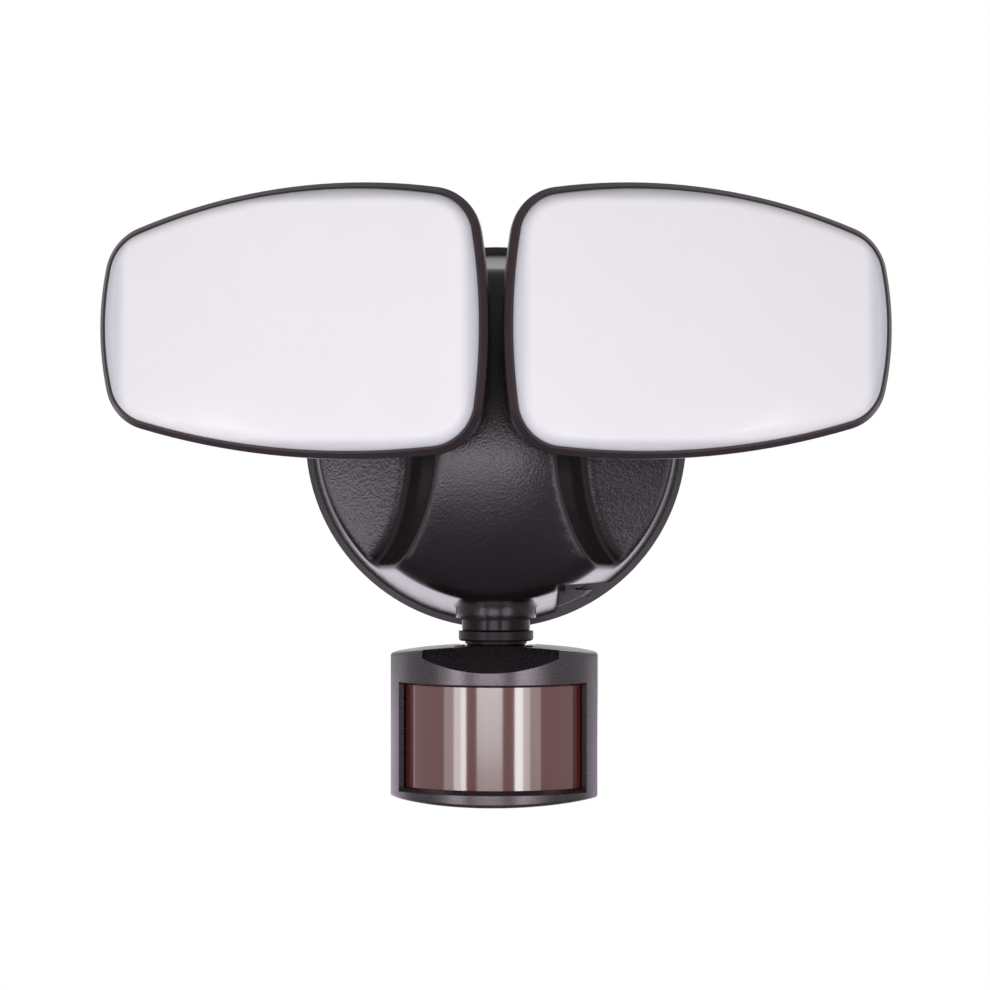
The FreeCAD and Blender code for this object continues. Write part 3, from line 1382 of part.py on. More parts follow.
def make_housing():
    """The cast back: drafted tray, cooling fins and the front half of the ball socket."""
    tray_front = LENS_FLANGE_BACK - GASKET_SECTION
    tray = head_prism(HOUSING_INSET, HOUSING_BACK, tray_front)
    back_rim = edges_where(tray, lambda edge: level_at(edge, HOUSING_BACK))
    tray = tray.makeFillet(HOUSING_ROUND, back_rim)
    hollow = head_prism(
        HOUSING_INSET + HOUSING_WALL, HOUSING_BACK + HOUSING_WALL, tray_front + OVERCUT
    )
    tray = tray.cut(hollow)
    fins = []
    fin_low = HOUSING_BACK - FIN_HEIGHT
    fin_high = HOUSING_BACK + OVERCUT
    fin_limit = head_prism(HOUSING_INSET + FIN_MARGIN, fin_low, fin_high)
    fin_round = edges_where(fin_limit, lambda edge: level_at(edge, fin_low))
    fin_limit = fin_limit.makeChamfer(FIN_HEIGHT - FIN_TIP, fin_round)
    reach = HEAD_OUTER_ARC[2]
    for index in range(FIN_COUNT):
        x = HEAD_MIDDLE.x + (index - (FIN_COUNT - 1) / 2) * FIN_PITCH
        half = FIN_THICKNESS / 2
        blade = box((x - half, x + half), (-reach, reach), (fin_low, fin_high))
        fins.append(blade.common(fin_limit))
    keep_out = Part.makeCylinder(
        RING_RADIUS + FIN_BOSS_CLEARANCE, fin_high - fin_low, Vector(0, 0, fin_low)
    )
    fins = Part.makeCompound(fins).cut(keep_out)
    body = tray.multiFuse(fins.Solids)
    cup = Part.makeSphere(BALL_CUP_RADIUS, ORIGIN)
    front_half = Part.makeCylinder(BALL_CUP_RADIUS, BALL_CUP_RADIUS)
    skirt = Part.makeCylinder(RING_RADIUS, HOUSING_BACK + HOUSING_WALL / 2)
    body = body.multiFuse([cup.common(front_half), skirt])
    bosses = []
    holes = [Part.makeSphere(HEAD_SOCKET, ORIGIN)]
    holes.append(Part.makeCylinder(HEAD_WIRE_RADIUS, BALL_CUP_RADIUS + OVERCUT))
    for x, y in bezel_screw_places():
        start = Vector(x, y, HOUSING_BACK + BEZEL_SCREW_HEAD)
        bosses.append(Part.makeCylinder(BEZEL_BOSS_RADIUS, HOUSING_FRONT - SEAT_GAP - start.z, start))
        tray_notch = lug_form(x, y, SEAT_GAP, HOUSING_FRONT - SEAT_GAP, tray_front + OVERCUT)
        holes.append(tray_notch)
        holes.append(
            Part.makeCylinder(BEZEL_SCREW_RADIUS + SCREW_GAP, tray_front + OVERCUT - start.z, start)
        )
        well_at = Vector(x, y, HOUSING_BACK - OVERCUT)
        well_radius = BEZEL_SCREW_HEAD_RADIUS + SCREW_GAP
        holes.append(Part.makeCylinder(well_radius, BEZEL_SCREW_HEAD + OVERCUT, well_at))
    body = body.multiFuse(bosses).cut(Part.makeCompound(holes))
    return one_solid(body)


def make_bezel_screws():
    screws = [
        screw(
            BEZEL_SCREW_RADIUS,
            BEZEL_SCREW_LENGTH,
            BEZEL_SCREW_HEAD_RADIUS,
            BEZEL_SCREW_HEAD,
            Vector(x, y, HOUSING_BACK + BEZEL_SCREW_HEAD),
            Z_AXIS,
        )
        for x, y in bezel_screw_places()
    ]
    return Part.makeCompound(screws)


def make_led_board():
    front = LED_BOARD_BACK + LED_BOARD_THICKNESS
    board = head_prism(LED_BOARD_INSET, LED_BOARD_BACK, front)
    hole_at = Vector(0, 0, LED_BOARD_BACK - OVERCUT)
    hole = Part.makeCylinder(HEAD_WIRE_RADIUS, LED_BOARD_THICKNESS + 2 * OVERCUT, hole_at)
    return board.cut(hole)


def make_leds():
    low = LED_BOARD_BACK + LED_BOARD_THICKNESS
    half = LED_SIZE / 2
    chips = []
    for column in range(LED_COLUMNS):
        for row in range(LED_ROWS):
            x = HEAD_MIDDLE.x + (column - (LED_COLUMNS - 1) / 2) * LED_PITCH_X
            y = HEAD_MIDDLE.y + (row - (LED_ROWS - 1) / 2) * LED_PITCH_Y
            chips.append(box((x - half, x + half), (y - half, y + half), (low, low + LED_HEIGHT)))
    return Part.makeCompound(chips)


def make_ball_ring():
    """The ring that holds the ball in: spherical seat, open back, finger notches."""
    lip = HEAD_SOCKET * math.cos(math.radians(SOCKET_OPENING))
    ring = Part.makeCylinder(RING_RADIUS, RING_LIP, Vector(0, 0, -RING_LIP))
    back_rim = edges_where(ring, lambda edge: level_at(edge, -RING_LIP))
    ring = ring.makeChamfer(RING_EDGE, back_rim)
    reach = HEAD_SOCKET * math.sin(math.radians(SOCKET_OPENING))
    spread = (RING_LIP - lip) * math.tan(math.radians(SOCKET_OPENING))
    mouth = Part.makeCone(reach, reach + spread, RING_LIP - lip, Vector(0, 0, -lip), -Z_AXIS)
    ring = ring.cut(Part.makeSphere(HEAD_SOCKET, ORIGIN)).cut(mouth)
    notches = []
    for index in range(RING_NOTCHES):
        angle = 2 * math.pi * index / RING_NOTCHES
        around = Vector(math.cos(angle), math.sin(angle), 0)
        centre = around * RING_RADIUS - Z_AXIS * (RING_LIP + OVERCUT)
        notches.append(Part.makeCylinder(RING_NOTCH_RADIUS, RING_LIP - OVERCUT, centre))
    return one_solid(ring.cut(Part.makeCompound(notches)))


def make_ball_liner():
    """The nylon shell between the arm's ball and the head's socket, open at the back."""
    shell = Part.makeSphere(LINER_OUTER, ORIGIN).cut(Part.makeSphere(LINER_INNER, ORIGIN))
    depth = LINER_OUTER + OVERCUT
    mouth = Part.makeCone(0, depth * math.tan(math.radians(LINER_OPENING)), depth, ORIGIN, -Z_AXIS)
    eye = Part.makeCylinder(HEAD_WIRE_RADIUS, depth)
    return one_solid(shell.cut(mouth).cut(eye))


# ---- the whole light
def head_parts():
    return {
        "bezel": make_bezel(),
        "lens": make_lens(),
        "lens_gasket": make_lens_gasket(),
        "head_housing": make_housing(),
        "bezel_screws": make_bezel_screws(),
        "led_board": make_led_board(),
        "led_chips": make_leds(),
        "ball_ring": make_ball_ring(),
        "ball_liner": make_ball_liner(),
    }


def sensor_parts():
    hood, cover = case_halves()
    parts = {
        "sensor_hood": hood,
        "sensor_rear_cover": cover,
        "pir_lens": make_pir_lens(),
        "sensor_board": make_sensor_board(),
        "pir_detector": make_detector(),
        "photocell": make_photocell(),
        "control_board": make_control_board(),
        "mode_switch": make_mode_switch(),
        "case_screws": make_case_screws(),
    }
    for name, x in dial_places().items():
        parts[name] = make_dial(x)
    return parts


def build():
    """Every piece of the light, by node name."""
    nodes = {
        "wall_gasket": make_wall_gasket(),
        "mounting_plate": make_mounting_plate(),
        "ground_screw": make_ground_screw(),
        "release_latch": make_release_latch(),
        "latch_spring": make_latch_spring(),
        "canopy": make_canopy(),
        "driver_board": make_driver_board(),
        "driver_screws": make_driver_screws(),
        "transformer": make_transformer(),
        "capacitors": make_capacitors(),
        "terminal_block": make_terminal_block(),
        "neck_seal": make_neck_seal(),
        "sensor_neck": make_sensor_neck(),
        "neck_nut": make_neck_nut(),
        "neck_clip": make_neck_clip(),
        "sensor_ball": make_sensor_ball(),
        "arm_seals": Part.makeCompound(both_sides(make_arm_seal())),
        "arm_nuts": Part.makeCompound(both_sides(make_arm_nut())),
    }
    arm = make_arm()
    nodes["right_arm"] = arm
    nodes["left_arm"] = mirrored(arm)
    for name, shape in head_parts().items():
        placed = in_head_place(shape)
        nodes["right_" + name] = placed
        nodes["left_" + name] = mirrored(placed)
    for name, shape in sensor_parts().items():
        nodes[name] = in_sensor_place(shape)
    return nodes


def main():
    os.makedirs("parts", exist_ok=True)
    for name, shape in build().items():
        if not shape.isValid():
            print("not valid:", name)
        print(name, len(shape.Solids), round(shape.Volume))
        shape.exportStep("parts/" + name + ".step")


if __name__ == "__main__":
    main()
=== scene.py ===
"""Looks of a wall-mounted security light with two swivelling flood heads and a motion sensor.

Metres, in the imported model's own frame: +Z up, the light faces -Y, the wall is the plane Y = 0.
"""
import json
import logging
import math
from dataclasses import dataclass, field, replace
from enum import Enum

import bpy
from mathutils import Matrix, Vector

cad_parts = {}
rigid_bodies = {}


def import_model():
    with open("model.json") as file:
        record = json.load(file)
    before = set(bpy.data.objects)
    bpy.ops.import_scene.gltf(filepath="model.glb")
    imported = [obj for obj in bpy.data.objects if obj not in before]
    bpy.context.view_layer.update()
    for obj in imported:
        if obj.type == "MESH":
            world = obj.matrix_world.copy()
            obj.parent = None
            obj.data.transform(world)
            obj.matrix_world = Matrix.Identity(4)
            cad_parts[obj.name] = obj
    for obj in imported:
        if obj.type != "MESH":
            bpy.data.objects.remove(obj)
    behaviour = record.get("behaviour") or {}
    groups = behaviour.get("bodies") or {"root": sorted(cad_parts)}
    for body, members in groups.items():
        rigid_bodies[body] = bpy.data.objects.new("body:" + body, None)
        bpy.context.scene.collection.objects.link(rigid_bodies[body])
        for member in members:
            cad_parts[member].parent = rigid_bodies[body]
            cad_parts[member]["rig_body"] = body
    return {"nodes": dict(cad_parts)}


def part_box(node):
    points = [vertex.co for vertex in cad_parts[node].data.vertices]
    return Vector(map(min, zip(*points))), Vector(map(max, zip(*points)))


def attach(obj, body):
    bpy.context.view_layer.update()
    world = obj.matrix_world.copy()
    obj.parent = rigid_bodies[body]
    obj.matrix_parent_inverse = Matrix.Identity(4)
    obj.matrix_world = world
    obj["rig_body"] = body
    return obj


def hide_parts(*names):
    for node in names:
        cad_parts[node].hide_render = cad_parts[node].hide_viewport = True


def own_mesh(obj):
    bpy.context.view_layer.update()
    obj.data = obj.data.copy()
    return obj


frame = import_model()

logging.basicConfig(level=logging.INFO, format="%(message)s")
LOG = logging.getLogger("security_light")
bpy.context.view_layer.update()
MM = 0.001
WELD_MM = 0.001
CREASE_DEGREES = 30.0
EDGE_SAMPLES = 6
# A wave texture of scale 1 repeats after this many units.
WAVE_PERIOD = math.tau / 20


# ---- colour and node helpers
def linear(hex_colour: str) -> tuple[float, float, float, float]:
    """Turns an sRGB hex colour into Blender's linear values.

    Args:
        hex_colour: six hex digits, such as "3A3437".

    Returns:
        Linear red, green and blue, and an alpha of 1.
    """
    channels = [int(hex_colour[i : i + 2], 16) / 255 for i in (0, 2, 4)]
    values = [c / 12.92 if c <= 0.04045 else ((c + 0.055) / 1.055) ** 2.4 for c in channels]
    return (values[0], values[1], values[2], 1.0)


def add_node(
    tree: bpy.types.NodeTree,
    kind: str,
    settings: dict[str | int, object] | None = None,
    links: dict[str | int, bpy.types.NodeSocket] | None = None,
) -> bpy.types.Node:
    """Adds one node with its settings and links.

    Args:
        tree: the node tree that gets the node.
        kind: the node's type name.
        settings: properties by name, or input values by socket name or number.
        links: sockets that feed the inputs, by socket name or number.

    Returns:
        The new node.
    """
    node = tree.nodes.new(kind)
    for name, value in (settings or {}).items():
        if isinstance(name, str) and hasattr(node, name):
            setattr(node, name, value)
        else:
            node.inputs[name].default_value = value
    for name, socket in (links or {}).items():
        tree.links.new(socket, node.inputs[name])
    return node


def ramp(
    tree: bpy.types.NodeTree,
    factor: bpy.types.NodeSocket,
    stops: list[tuple[float, tuple[float, float, float, float]]],
) -> bpy.types.NodeSocket:
    """Runs a factor through a colour ramp.

    Args:
        tree: the node tree.
        factor: the value that picks the colour.
        stops: positions and linear colours, in order.

    Returns:
        The ramp's colour output.
    """
    node = add_node(tree, "ShaderNodeValToRGB", links={"Fac": factor})
    elements = node.color_ramp.elements
    while len(elements) < len(stops):
        elements.new(0.5)
    for element, (position, colour) in zip(elements, stops):
        element.position = position
        element.color = colour
    return node.outputs["Color"]


def shade(colour: tuple[float, float, float, float], amount: float) -> tuple[float, float, float, float]:
    """Makes a linear colour lighter or darker by a factor."""
    return (colour[0] * amount, colour[1] * amount, colour[2] * amount, 1.0)


def per_metre(size_mm: float) -> float:
    """Texture scale that gives a pattern of this size in millimetres."""
    return 1.0 / (size_mm * MM)


# ---- finishes
@dataclass(frozen=True)
class Finish:
    """What every finish has: a name, a body colour and a roughness."""

    name: str
    colour: str
    roughness: float = 0.5

    def material(self) -> bpy.types.Material:
        """Builds the material once and hands back the same one later."""
        known = bpy.data.materials.get(self.name)
        if known is not None:
            return known
        made = bpy.data.materials.new(self.name)
        made.use_nodes = True
        tree = made.node_tree
        tree.nodes.clear()
        place = add_node(tree, "ShaderNodeTexCoord").outputs["Object"]
        shader = add_node(
            tree,
            "ShaderNodeBsdfPrincipled",
            {"Base Color": linear(self.colour), "Roughness": self.roughness},
        )
        add_node(tree, "ShaderNodeOutputMaterial", links={"Surface": shader.outputs["BSDF"]})
        self.dress(tree, place, shader)
        return made

    def dress(
        self, tree: bpy.types.NodeTree, place: bpy.types.NodeSocket, shader: bpy.types.Node
    ) -> None:
        """Adds the finish's own pattern; the plain one has none."""


@dataclass(frozen=True)
class Grained(Finish):
    """A moulded or sprayed surface: grain as bump, with faint mottling and worn gloss.

    The grain is an orange peel on paint and a spark-eroded texture on moulded plastic.
    """

    grain_mm: float = 1.0
    grain_depth: float = 0.3
    relief_mm: float = 0.02
    patch_mm: float = 18.0
    mottle: float = 0.12
    wear: float = 0.05
    # Painted glints: pale points in the colour that stand in for the light a sparkling grain catches.
    painted_glint: float = 0.0
    painted_glint_mm: float = 0.35
    painted_glint_colour: str = "B9AEB4"
    painted_glint_threshold: float = 0.86
    reflectance: float = 0.5
    sheen_tint: str = "FFF2FF"
    # The radius that shading gives to edges.
    edge_mm: float = 0.0

    def dress(
        self, tree: bpy.types.NodeTree, place: bpy.types.NodeSocket, shader: bpy.types.Node
    ) -> None:
        """Adds grain, mottling and painted glints.

        Args:
            tree: the material's nodes.
            place: object coordinates.
            shader: the surface shader.
        """
        colour = linear(self.colour)
        patches = add_node(
            tree,
            "ShaderNodeTexNoise",
            {"Scale": per_metre(self.patch_mm), "Detail": 5.0, "Roughness": 0.6},
            {"Vector": place},
        )
        body = ramp(
            tree,
            patches.outputs["Fac"],
            [(0.3, shade(colour, 1 - self.mottle)), (0.7, shade(colour, 1 + self.mottle))],
        )
        if self.painted_glint > 0:
            body = self.add_painted_glints(tree, place, body)
        tree.links.new(body, shader.inputs["Base Color"])
        worn = add_node(
            tree,
            "ShaderNodeMapRange",
            {"To Min": self.roughness - self.wear, "To Max": self.roughness + self.wear},
            {"Value": patches.outputs["Fac"]},
        )
        tree.links.new(worn.outputs["Result"], shader.inputs["Roughness"])
        grain = add_node(
            tree,
            "ShaderNodeTexNoise",
            {"Scale": per_metre(self.grain_mm), "Detail": 2.0, "Roughness": 0.45},
            {"Vector": place},
        )
        bump = add_node(
            tree,
            "ShaderNodeBump",
            {"Strength": self.grain_depth, "Distance": self.relief_mm * MM},
            {"Height": grain.outputs["Fac"]},
        )
        if self.edge_mm > 0:
            rounded = add_node(
                tree,
                "ShaderNodeBevel",
                {"samples": EDGE_SAMPLES, "Radius": self.edge_mm * MM},
            )
            tree.links.new(rounded.outputs["Normal"], bump.inputs["Normal"])
        tree.links.new(bump.outputs["Normal"], shader.inputs["Normal"])
        shader.inputs["Specular IOR Level"].default_value = self.reflectance
        shader.inputs["Specular Tint"].default_value = linear(self.sheen_tint)

    def add_painted_glints(
        self,
        tree: bpy.types.NodeTree,
        place: bpy.types.NodeSocket,
        body: bpy.types.NodeSocket,
    ) -> bpy.types.NodeSocket:
        """Scatters pale points over the body colour, as painted glints of a sparkling grain.

        Args:
            tree: the material's nodes.
            place: object coordinates.
            body: the colour below the painted glints.

        Returns:
            The colour with the painted glints.
        """
        # Painted glints: pale points mixed into the colour where the cells are brightest.
        cells = add_node(
            tree, "ShaderNodeTexVoronoi", {"Scale": per_metre(self.painted_glint_mm)}, {"Vector": place}
        )
        brightness = add_node(tree, "ShaderNodeSeparateColor", links={"Color": cells.outputs["Color"]})
        picked = add_node(
            tree,
            "ShaderNodeMapRange",
            {"From Min": self.painted_glint_threshold, "To Max": self.painted_glint},
            {"Value": brightness.outputs["Red"]},
        )
        mixed = add_node(
            tree,
            "ShaderNodeMix",
            {"data_type": "RGBA", 7: linear(self.painted_glint_colour)},
            {0: picked.outputs["Result"], 6: body},
        )
        return mixed.outputs[2]


@dataclass(frozen=True)
class OpalAcrylic(Finish):
    """Injection moulded opal acrylic: milky body, glossy skin, and a painted shade, greyer and bluish,
    along the rim.

    The rim is where the lens turns back into its frame. Centre and reach, in metres, are those of
    the lens, and the rim's start and end are shares of its reach.
    """

    reflectance: float = 0.07
    flow_mm: float = 45.0
    skin_mm: float = 0.8
    skin_relief_mm: float = 0.004
    milkiness: float = 0.25
    scatter_mm: float = 2.0
    centre: tuple[float, float, float] = (0.0, 0.0, 0.0)
    reach: tuple[float, float, float] = (1.0, 1.0, 1.0)
    squareness: float = 8.0
    rim_start: float = 0.87
    rim_end: float = 0.94
    # Colour of the painted shade along the rim, greyer and bluish than the body.
    rim_shade_colour: str = "D2D1DA"

    def dress(
        self, tree: bpy.types.NodeTree, place: bpy.types.NodeSocket, shader: bpy.types.Node
    ) -> None:
        """Adds the milky depth, the faint flow marks of the moulding and the painted shade along the
        rim.

        Args:
            tree: the material's nodes.
            place: object coordinates.
            shader: the surface shader.
        """
        colour = linear(self.colour)
        flow = add_node(
            tree,
            "ShaderNodeTexNoise",
            {"Scale": per_metre(self.flow_mm), "Detail": 2.0},
            {"Vector": place},
        )
        body = ramp(tree, flow.outputs["Fac"], [(0.3, shade(colour, 0.985)), (0.7, colour)])
        # Painted shade: the colour turns greyer and bluish towards the rim.
        rim = add_node(
            tree,
            "ShaderNodeMix",
            {"data_type": "RGBA", 7: linear(self.rim_shade_colour)},
            {0: self.rim_shade_factor(tree, place), 6: body},
        )
        tree.links.new(rim.outputs[2], shader.inputs["Base Color"])
        skin = add_node(
            tree,
            "ShaderNodeTexNoise",
            {"Scale": per_metre(self.skin_mm), "Detail": 1.0},
            {"Vector": place},
        )
        bump = add_node(
            tree,
            "ShaderNodeBump",
            {"Strength": 0.08, "Distance": self.skin_relief_mm * MM},
            {"Height": skin.outputs["Fac"]},
        )
        tree.links.new(bump.outputs["Normal"], shader.inputs["Normal"])
        shader.inputs["Specular IOR Level"].default_value = self.reflectance
        shader.inputs["Subsurface Weight"].default_value = self.milkiness
        shader.inputs["Subsurface Radius"].default_value = (1.0, 1.0, 1.0)
        shader.inputs["Subsurface Scale"].default_value = self.scatter_mm * MM

    def rim_shade_factor(
        self, tree: bpy.types.NodeTree, place: bpy.types.NodeSocket
    ) -> bpy.types.NodeSocket:
        """Works out how near the rim a point lies, by a rounded rectangle, for the painted shade there.

        Args:
            tree: the material's nodes.
            place: object coordinates.

        Returns:
            0 over the middle of the lens and 1 at its rim.
        """
        offset = add_node(
            tree, "ShaderNodeVectorMath", {"operation": "SUBTRACT", 1: self.centre}, {0: place}
        )
        scaled = add_node(
            tree,
            "ShaderNodeVectorMath",
            {"operation": "DIVIDE", 1: self.reach},
            {0: offset.outputs["Vector"]},
        )
        across = add_node(tree, "ShaderNodeSeparateXYZ", links={"Vector": scaled.outputs["Vector"]})
        powers = [
            add_node(
                tree,
                "ShaderNodeMath",
                {"operation": "POWER", 1: self.squareness},
                {0: across.outputs[axis]},
            ).outputs[0]
            for axis in ("X", "Z")
        ]
        total = add_node(tree, "ShaderNodeMath", {"operation": "ADD"}, {0: powers[0], 1: powers[1]})
        nearness = add_node(
            tree,
            "ShaderNodeMath",
            {"operation": "POWER", 1: 1 / self.squareness},
            {0: total.outputs[0]},
        )
        eased = add_node(
            tree,
            "ShaderNodeMapRange",
            {
                "interpolation_type": "SMOOTHSTEP",
                "From Min": self.rim_start,
                "From Max": self.rim_end,
            },
            {"Value": nearness.outputs[0]},
        )
        return eased.outputs["Result"]


@dataclass(frozen=True)
class TintedPolyethylene(Finish):
    """The sensor's brown window: a glossy skin over a moulded back that shows as a faint band."""

    band_mm: float = 36.44
    skin_mm: float = 2.5
    skin_relief_mm: float = 0.005
    # Both faces of the thin window reflect, so it is brighter than one surface would be.
    reflectance: float = 0.8

    def dress(
        self, tree: bpy.types.NodeTree, place: bpy.types.NodeSocket, shader: bpy.types.Node
    ) -> None:
        """Adds the faint upright bands of the lens and its slightly uneven skin.

        Args:
            tree: the material's nodes.
            place: object coordinates.
            shader: the surface shader.
        """
        colour = linear(self.colour)
        bands = add_node(
            tree,
            "ShaderNodeTexWave",
            {"Scale": WAVE_PERIOD * per_metre(self.band_mm), "Distortion": 0.6, "Detail": 1.0},
            {"Vector": place},
        )
        body = ramp(
            tree,
            bands.outputs["Fac"],
            [(0.0, shade(colour, 0.93)), (1.0, shade(colour, 1.05))],
        )
        tree.links.new(body, shader.inputs["Base Color"])
        skin = add_node(
            tree,
            "ShaderNodeTexNoise",
            {"Scale": per_metre(self.skin_mm), "Detail": 1.0},
            {"Vector": place},
        )
        bump = add_node(
            tree,
            "ShaderNodeBump",
            {"Strength": 0.1, "Distance": self.skin_relief_mm * MM},
            {"Height": skin.outputs["Fac"]},
        )
        tree.links.new(bump.outputs["Normal"], shader.inputs["Normal"])
        shader.inputs["Specular IOR Level"].default_value = self.reflectance


@dataclass(frozen=True)
class Metal(Finish):
    """Turned, drawn or plated metal with fine tool marks."""

    mark_mm: float = 0.25
    mark_relief_mm: float = 0.01
    patch_mm: float = 4.0

    def dress(
        self, tree: bpy.types.NodeTree, place: bpy.types.NodeSocket, shader: bpy.types.Node
    ) -> None:
        """Adds tool marks and dull patches.

        Args:
            tree: the material's nodes.
            place: object coordinates.
            shader: the surface shader.
        """
        colour = linear(self.colour)
        shader.inputs["Metallic"].default_value = 1.0
        patches = add_node(
            tree,
            "ShaderNodeTexNoise",
            {"Scale": per_metre(self.patch_mm), "Detail": 4.0},
            {"Vector": place},
        )
        body = ramp(tree, patches.outputs["Fac"], [(0.3, shade(colour, 0.85)), (0.7, colour)])
        tree.links.new(body, shader.inputs["Base Color"])
        dulling = add_node(
            tree,
            "ShaderNodeMapRange",
            {"To Min": self.roughness - 0.08, "To Max": self.roughness + 0.1},
            {"Value": patches.outputs["Fac"]},
        )
        tree.links.new(dulling.outputs["Result"], shader.inputs["Roughness"])
        marks = add_node(
            tree,
            "ShaderNodeTexNoise",
            {"Scale": per_metre(self.mark_mm), "Detail": 2.0},
            {"Vector": place},
        )
        bump = add_node(
            tree,
            "ShaderNodeBump",
            {"Strength": 0.25, "Distance": self.mark_relief_mm * MM},
            {"Height": marks.outputs["Fac"]},
        )
        tree.links.new(bump.outputs["Normal"], shader.inputs["Normal"])


@dataclass(frozen=True)
class SolderMask(Finish):
    """A printed circuit board: lacquered laminate with tracks that show through the lacquer."""

    track_colour: str = "2E8A4E"
    pitch_mm: float = 2.54
    copper_mm: float = 0.035

    def dress(
        self, tree: bpy.types.NodeTree, place: bpy.types.NodeSocket, shader: bpy.types.Node
    ) -> None:
        """Adds the copper, with gaps between the cells of a grid-like pattern.

        Args:
            tree: the material's nodes.
            place: object coordinates.
            shader: the surface shader.
        """
        tracks = add_node(
            tree,
            "ShaderNodeTexVoronoi",
            {"distance": "CHEBYCHEV", "feature": "F2", "Scale": per_metre(self.pitch_mm * 2)},
            {"Vector": place},
        )
        lines = add_node(
            tree,
            "ShaderNodeMapRange",
            {"From Min": 0.42, "From Max": 0.46},
            {"Value": tracks.outputs["Distance"]},
        )
        body = ramp(
            tree,
            lines.outputs["Result"],
            [(0.4, linear(self.colour)), (0.6, linear(self.track_colour))],
        )
        tree.links.new(body, shader.inputs["Base Color"])
        bump = add_node(
            tree,
            "ShaderNodeBump",
            {"Strength": 0.4, "Distance": self.copper_mm * MM},
            {"Height": lines.outputs["Result"]},
        )
        tree.links.new(bump.outputs["Normal"], shader.inputs["Normal"])


class Palette:
    """The light's finishes, each named for its material and how it was made."""

    # Polyester powder coat on die-cast aluminium: semi-gloss dark bronze with an orange peel.
    powder_coat = Grained(
        "bronze_powder_coat", "171316", 0.22, grain_mm=0.9, grain_depth=0.8, relief_mm=0.06,
        mottle=0.05, reflectance=0.22,
    )
    # The same coat on the canopy, where it builds up and rounds the cast edges.
    canopy_coat = Grained(
        "bronze_powder_coat_canopy", "171316", 0.2, grain_mm=0.9, grain_depth=0.8, relief_mm=0.06,
        mottle=0.05, reflectance=0.22, edge_mm=2.5,
    )
    # Moulded PC frame in a browner bronze, satin.
    frame_plastic = Grained(
        "bronze_moulded_frame", "2C2226", 0.3, grain_mm=0.5, grain_depth=0.25, relief_mm=0.01,
        mottle=0.04, reflectance=0.25,
    )
    # Spark-eroded ABS: a matt grain, with painted glints for the points of light it catches.
    sensor_plastic = Grained(
        "bronze_eroded_abs", "1D171B", 0.28, grain_mm=0.4, grain_depth=0.4, relief_mm=0.02,
        mottle=0.05, painted_glint=0.14, painted_glint_mm=0.25, reflectance=0.6,
    )
    # Polished moulding of glass-filled nylon, smoother and glossier than the case.
    neck_plastic = Grained(
        "bronze_glossy_neck", "1A1518", 0.2, grain_mm=1.5, grain_depth=0.15, relief_mm=0.01,
        mottle=0.04, reflectance=0.1,
    )
    # Satin ABS without the sparkle, for the collar and the rings round the balls.
    collar_plastic = Grained(
        "bronze_satin_collar", "1D171B", 0.35, grain_mm=0.6, grain_depth=0.3, relief_mm=0.02,
        mottle=0.05, reflectance=0.12,
    )
    # Injection moulded black polycarbonate, lightly textured.
    plate_plastic = Grained(
        "black_moulded_plate", "1D1B1D", 0.5, grain_mm=0.6, grain_depth=0.5, relief_mm=0.03,
        mottle=0.1,
    )
    # Die-cut closed-cell neoprene foam.
    foam = Grained(
        "closed_cell_foam", "151515", 0.9, grain_mm=0.7, grain_depth=1.0, relief_mm=0.15,
        mottle=0.2, reflectance=0.2,
    )
    # Compression moulded silicone rubber.
    rubber = Grained(
        "black_silicone_rubber", "121112", 0.7, grain_mm=0.9, grain_depth=0.4, relief_mm=0.03,
        mottle=0.15, reflectance=0.3,
    )
    # Injection moulded nylon, for what slides or turns.
    nylon = Grained(
        "moulded_black_nylon", "1A1A1B", 0.45, grain_mm=0.5, grain_depth=0.3, relief_mm=0.02,
        mottle=0.08,
    )
    # Injection moulded opal acrylic with a polished skin.
    opal = OpalAcrylic("opal_acrylic_diffuser", "EFEAF0", 0.16)
    # Brown polyethylene that lets heat rays through, moulded thin.
    sensor_window = TintedPolyethylene("tinted_polyethylene_window", "582726", 0.1)
    # Cold-formed steel, zinc plated.
    zinc = Metal("zinc_plated_steel", "B9B8B0", 0.35)
    # Rolled strip and wire, hardened and blued.
    spring_steel = Metal("blued_spring_steel", "8E8F93", 0.28, mark_mm=0.15)
    # Drawn steel can, nickel plated.
    nickel = Metal("nickel_plated_can", "C4C1B8", 0.25)
    # Ground screw: steel passivated green.
    green_screw = Metal("green_passivated_steel", "2F7A46", 0.38)
    # Cold-headed screws, blackened in hot oxide.
    black_screw = Metal("black_oxide_steel", "2A2A2C", 0.42)
    # Glass-epoxy laminate under green lacquer.
    board = SolderMask("green_solder_mask", "14502C", 0.3)
    # Aluminium-cored laminate under white lacquer.
    led_board = SolderMask(
        "white_solder_mask", "E6E4DC", 0.35, track_colour="F2F0EA", pitch_mm=5.0
    )
    # Yellow phosphor cast in silicone over the LED chips.
    phosphor = Grained(
        "silicone_phosphor", "E5C23C", 0.3, grain_mm=0.3, grain_depth=0.2, relief_mm=0.01,
        mottle=0.08,
    )
    # Sintered ferrite core with its winding under tape.
    ferrite = Grained(
        "ferrite_and_tape", "2B2724", 0.55, grain_mm=0.5, grain_depth=0.6, relief_mm=0.04, mottle=0.25
    )
    # Heat-shrunk PVC sleeve of the capacitors.
    sleeve = Grained(
        "shrink_sleeve", "1B2440", 0.28, grain_mm=2.0, grain_depth=0.2, relief_mm=0.02, mottle=0.08
    )
    # Injection moulded green nylon of the terminal block.
    terminal = Grained(
        "moulded_terminal_nylon", "2C6B3F", 0.45, grain_mm=0.5, grain_depth=0.3, relief_mm=0.02,
        mottle=0.1,
    )
    # Photocell's face, cast in amber epoxy.
    photocell = Grained(
        "photocell_epoxy", "A8582A", 0.2, grain_mm=0.4, grain_depth=0.1, relief_mm=0.01, mottle=0.3
    )
    # Matt pale paper of the studio's floor.
    paper = Grained("pale_studio_floor", "E4E4E4", 0.8, mottle=0.01)


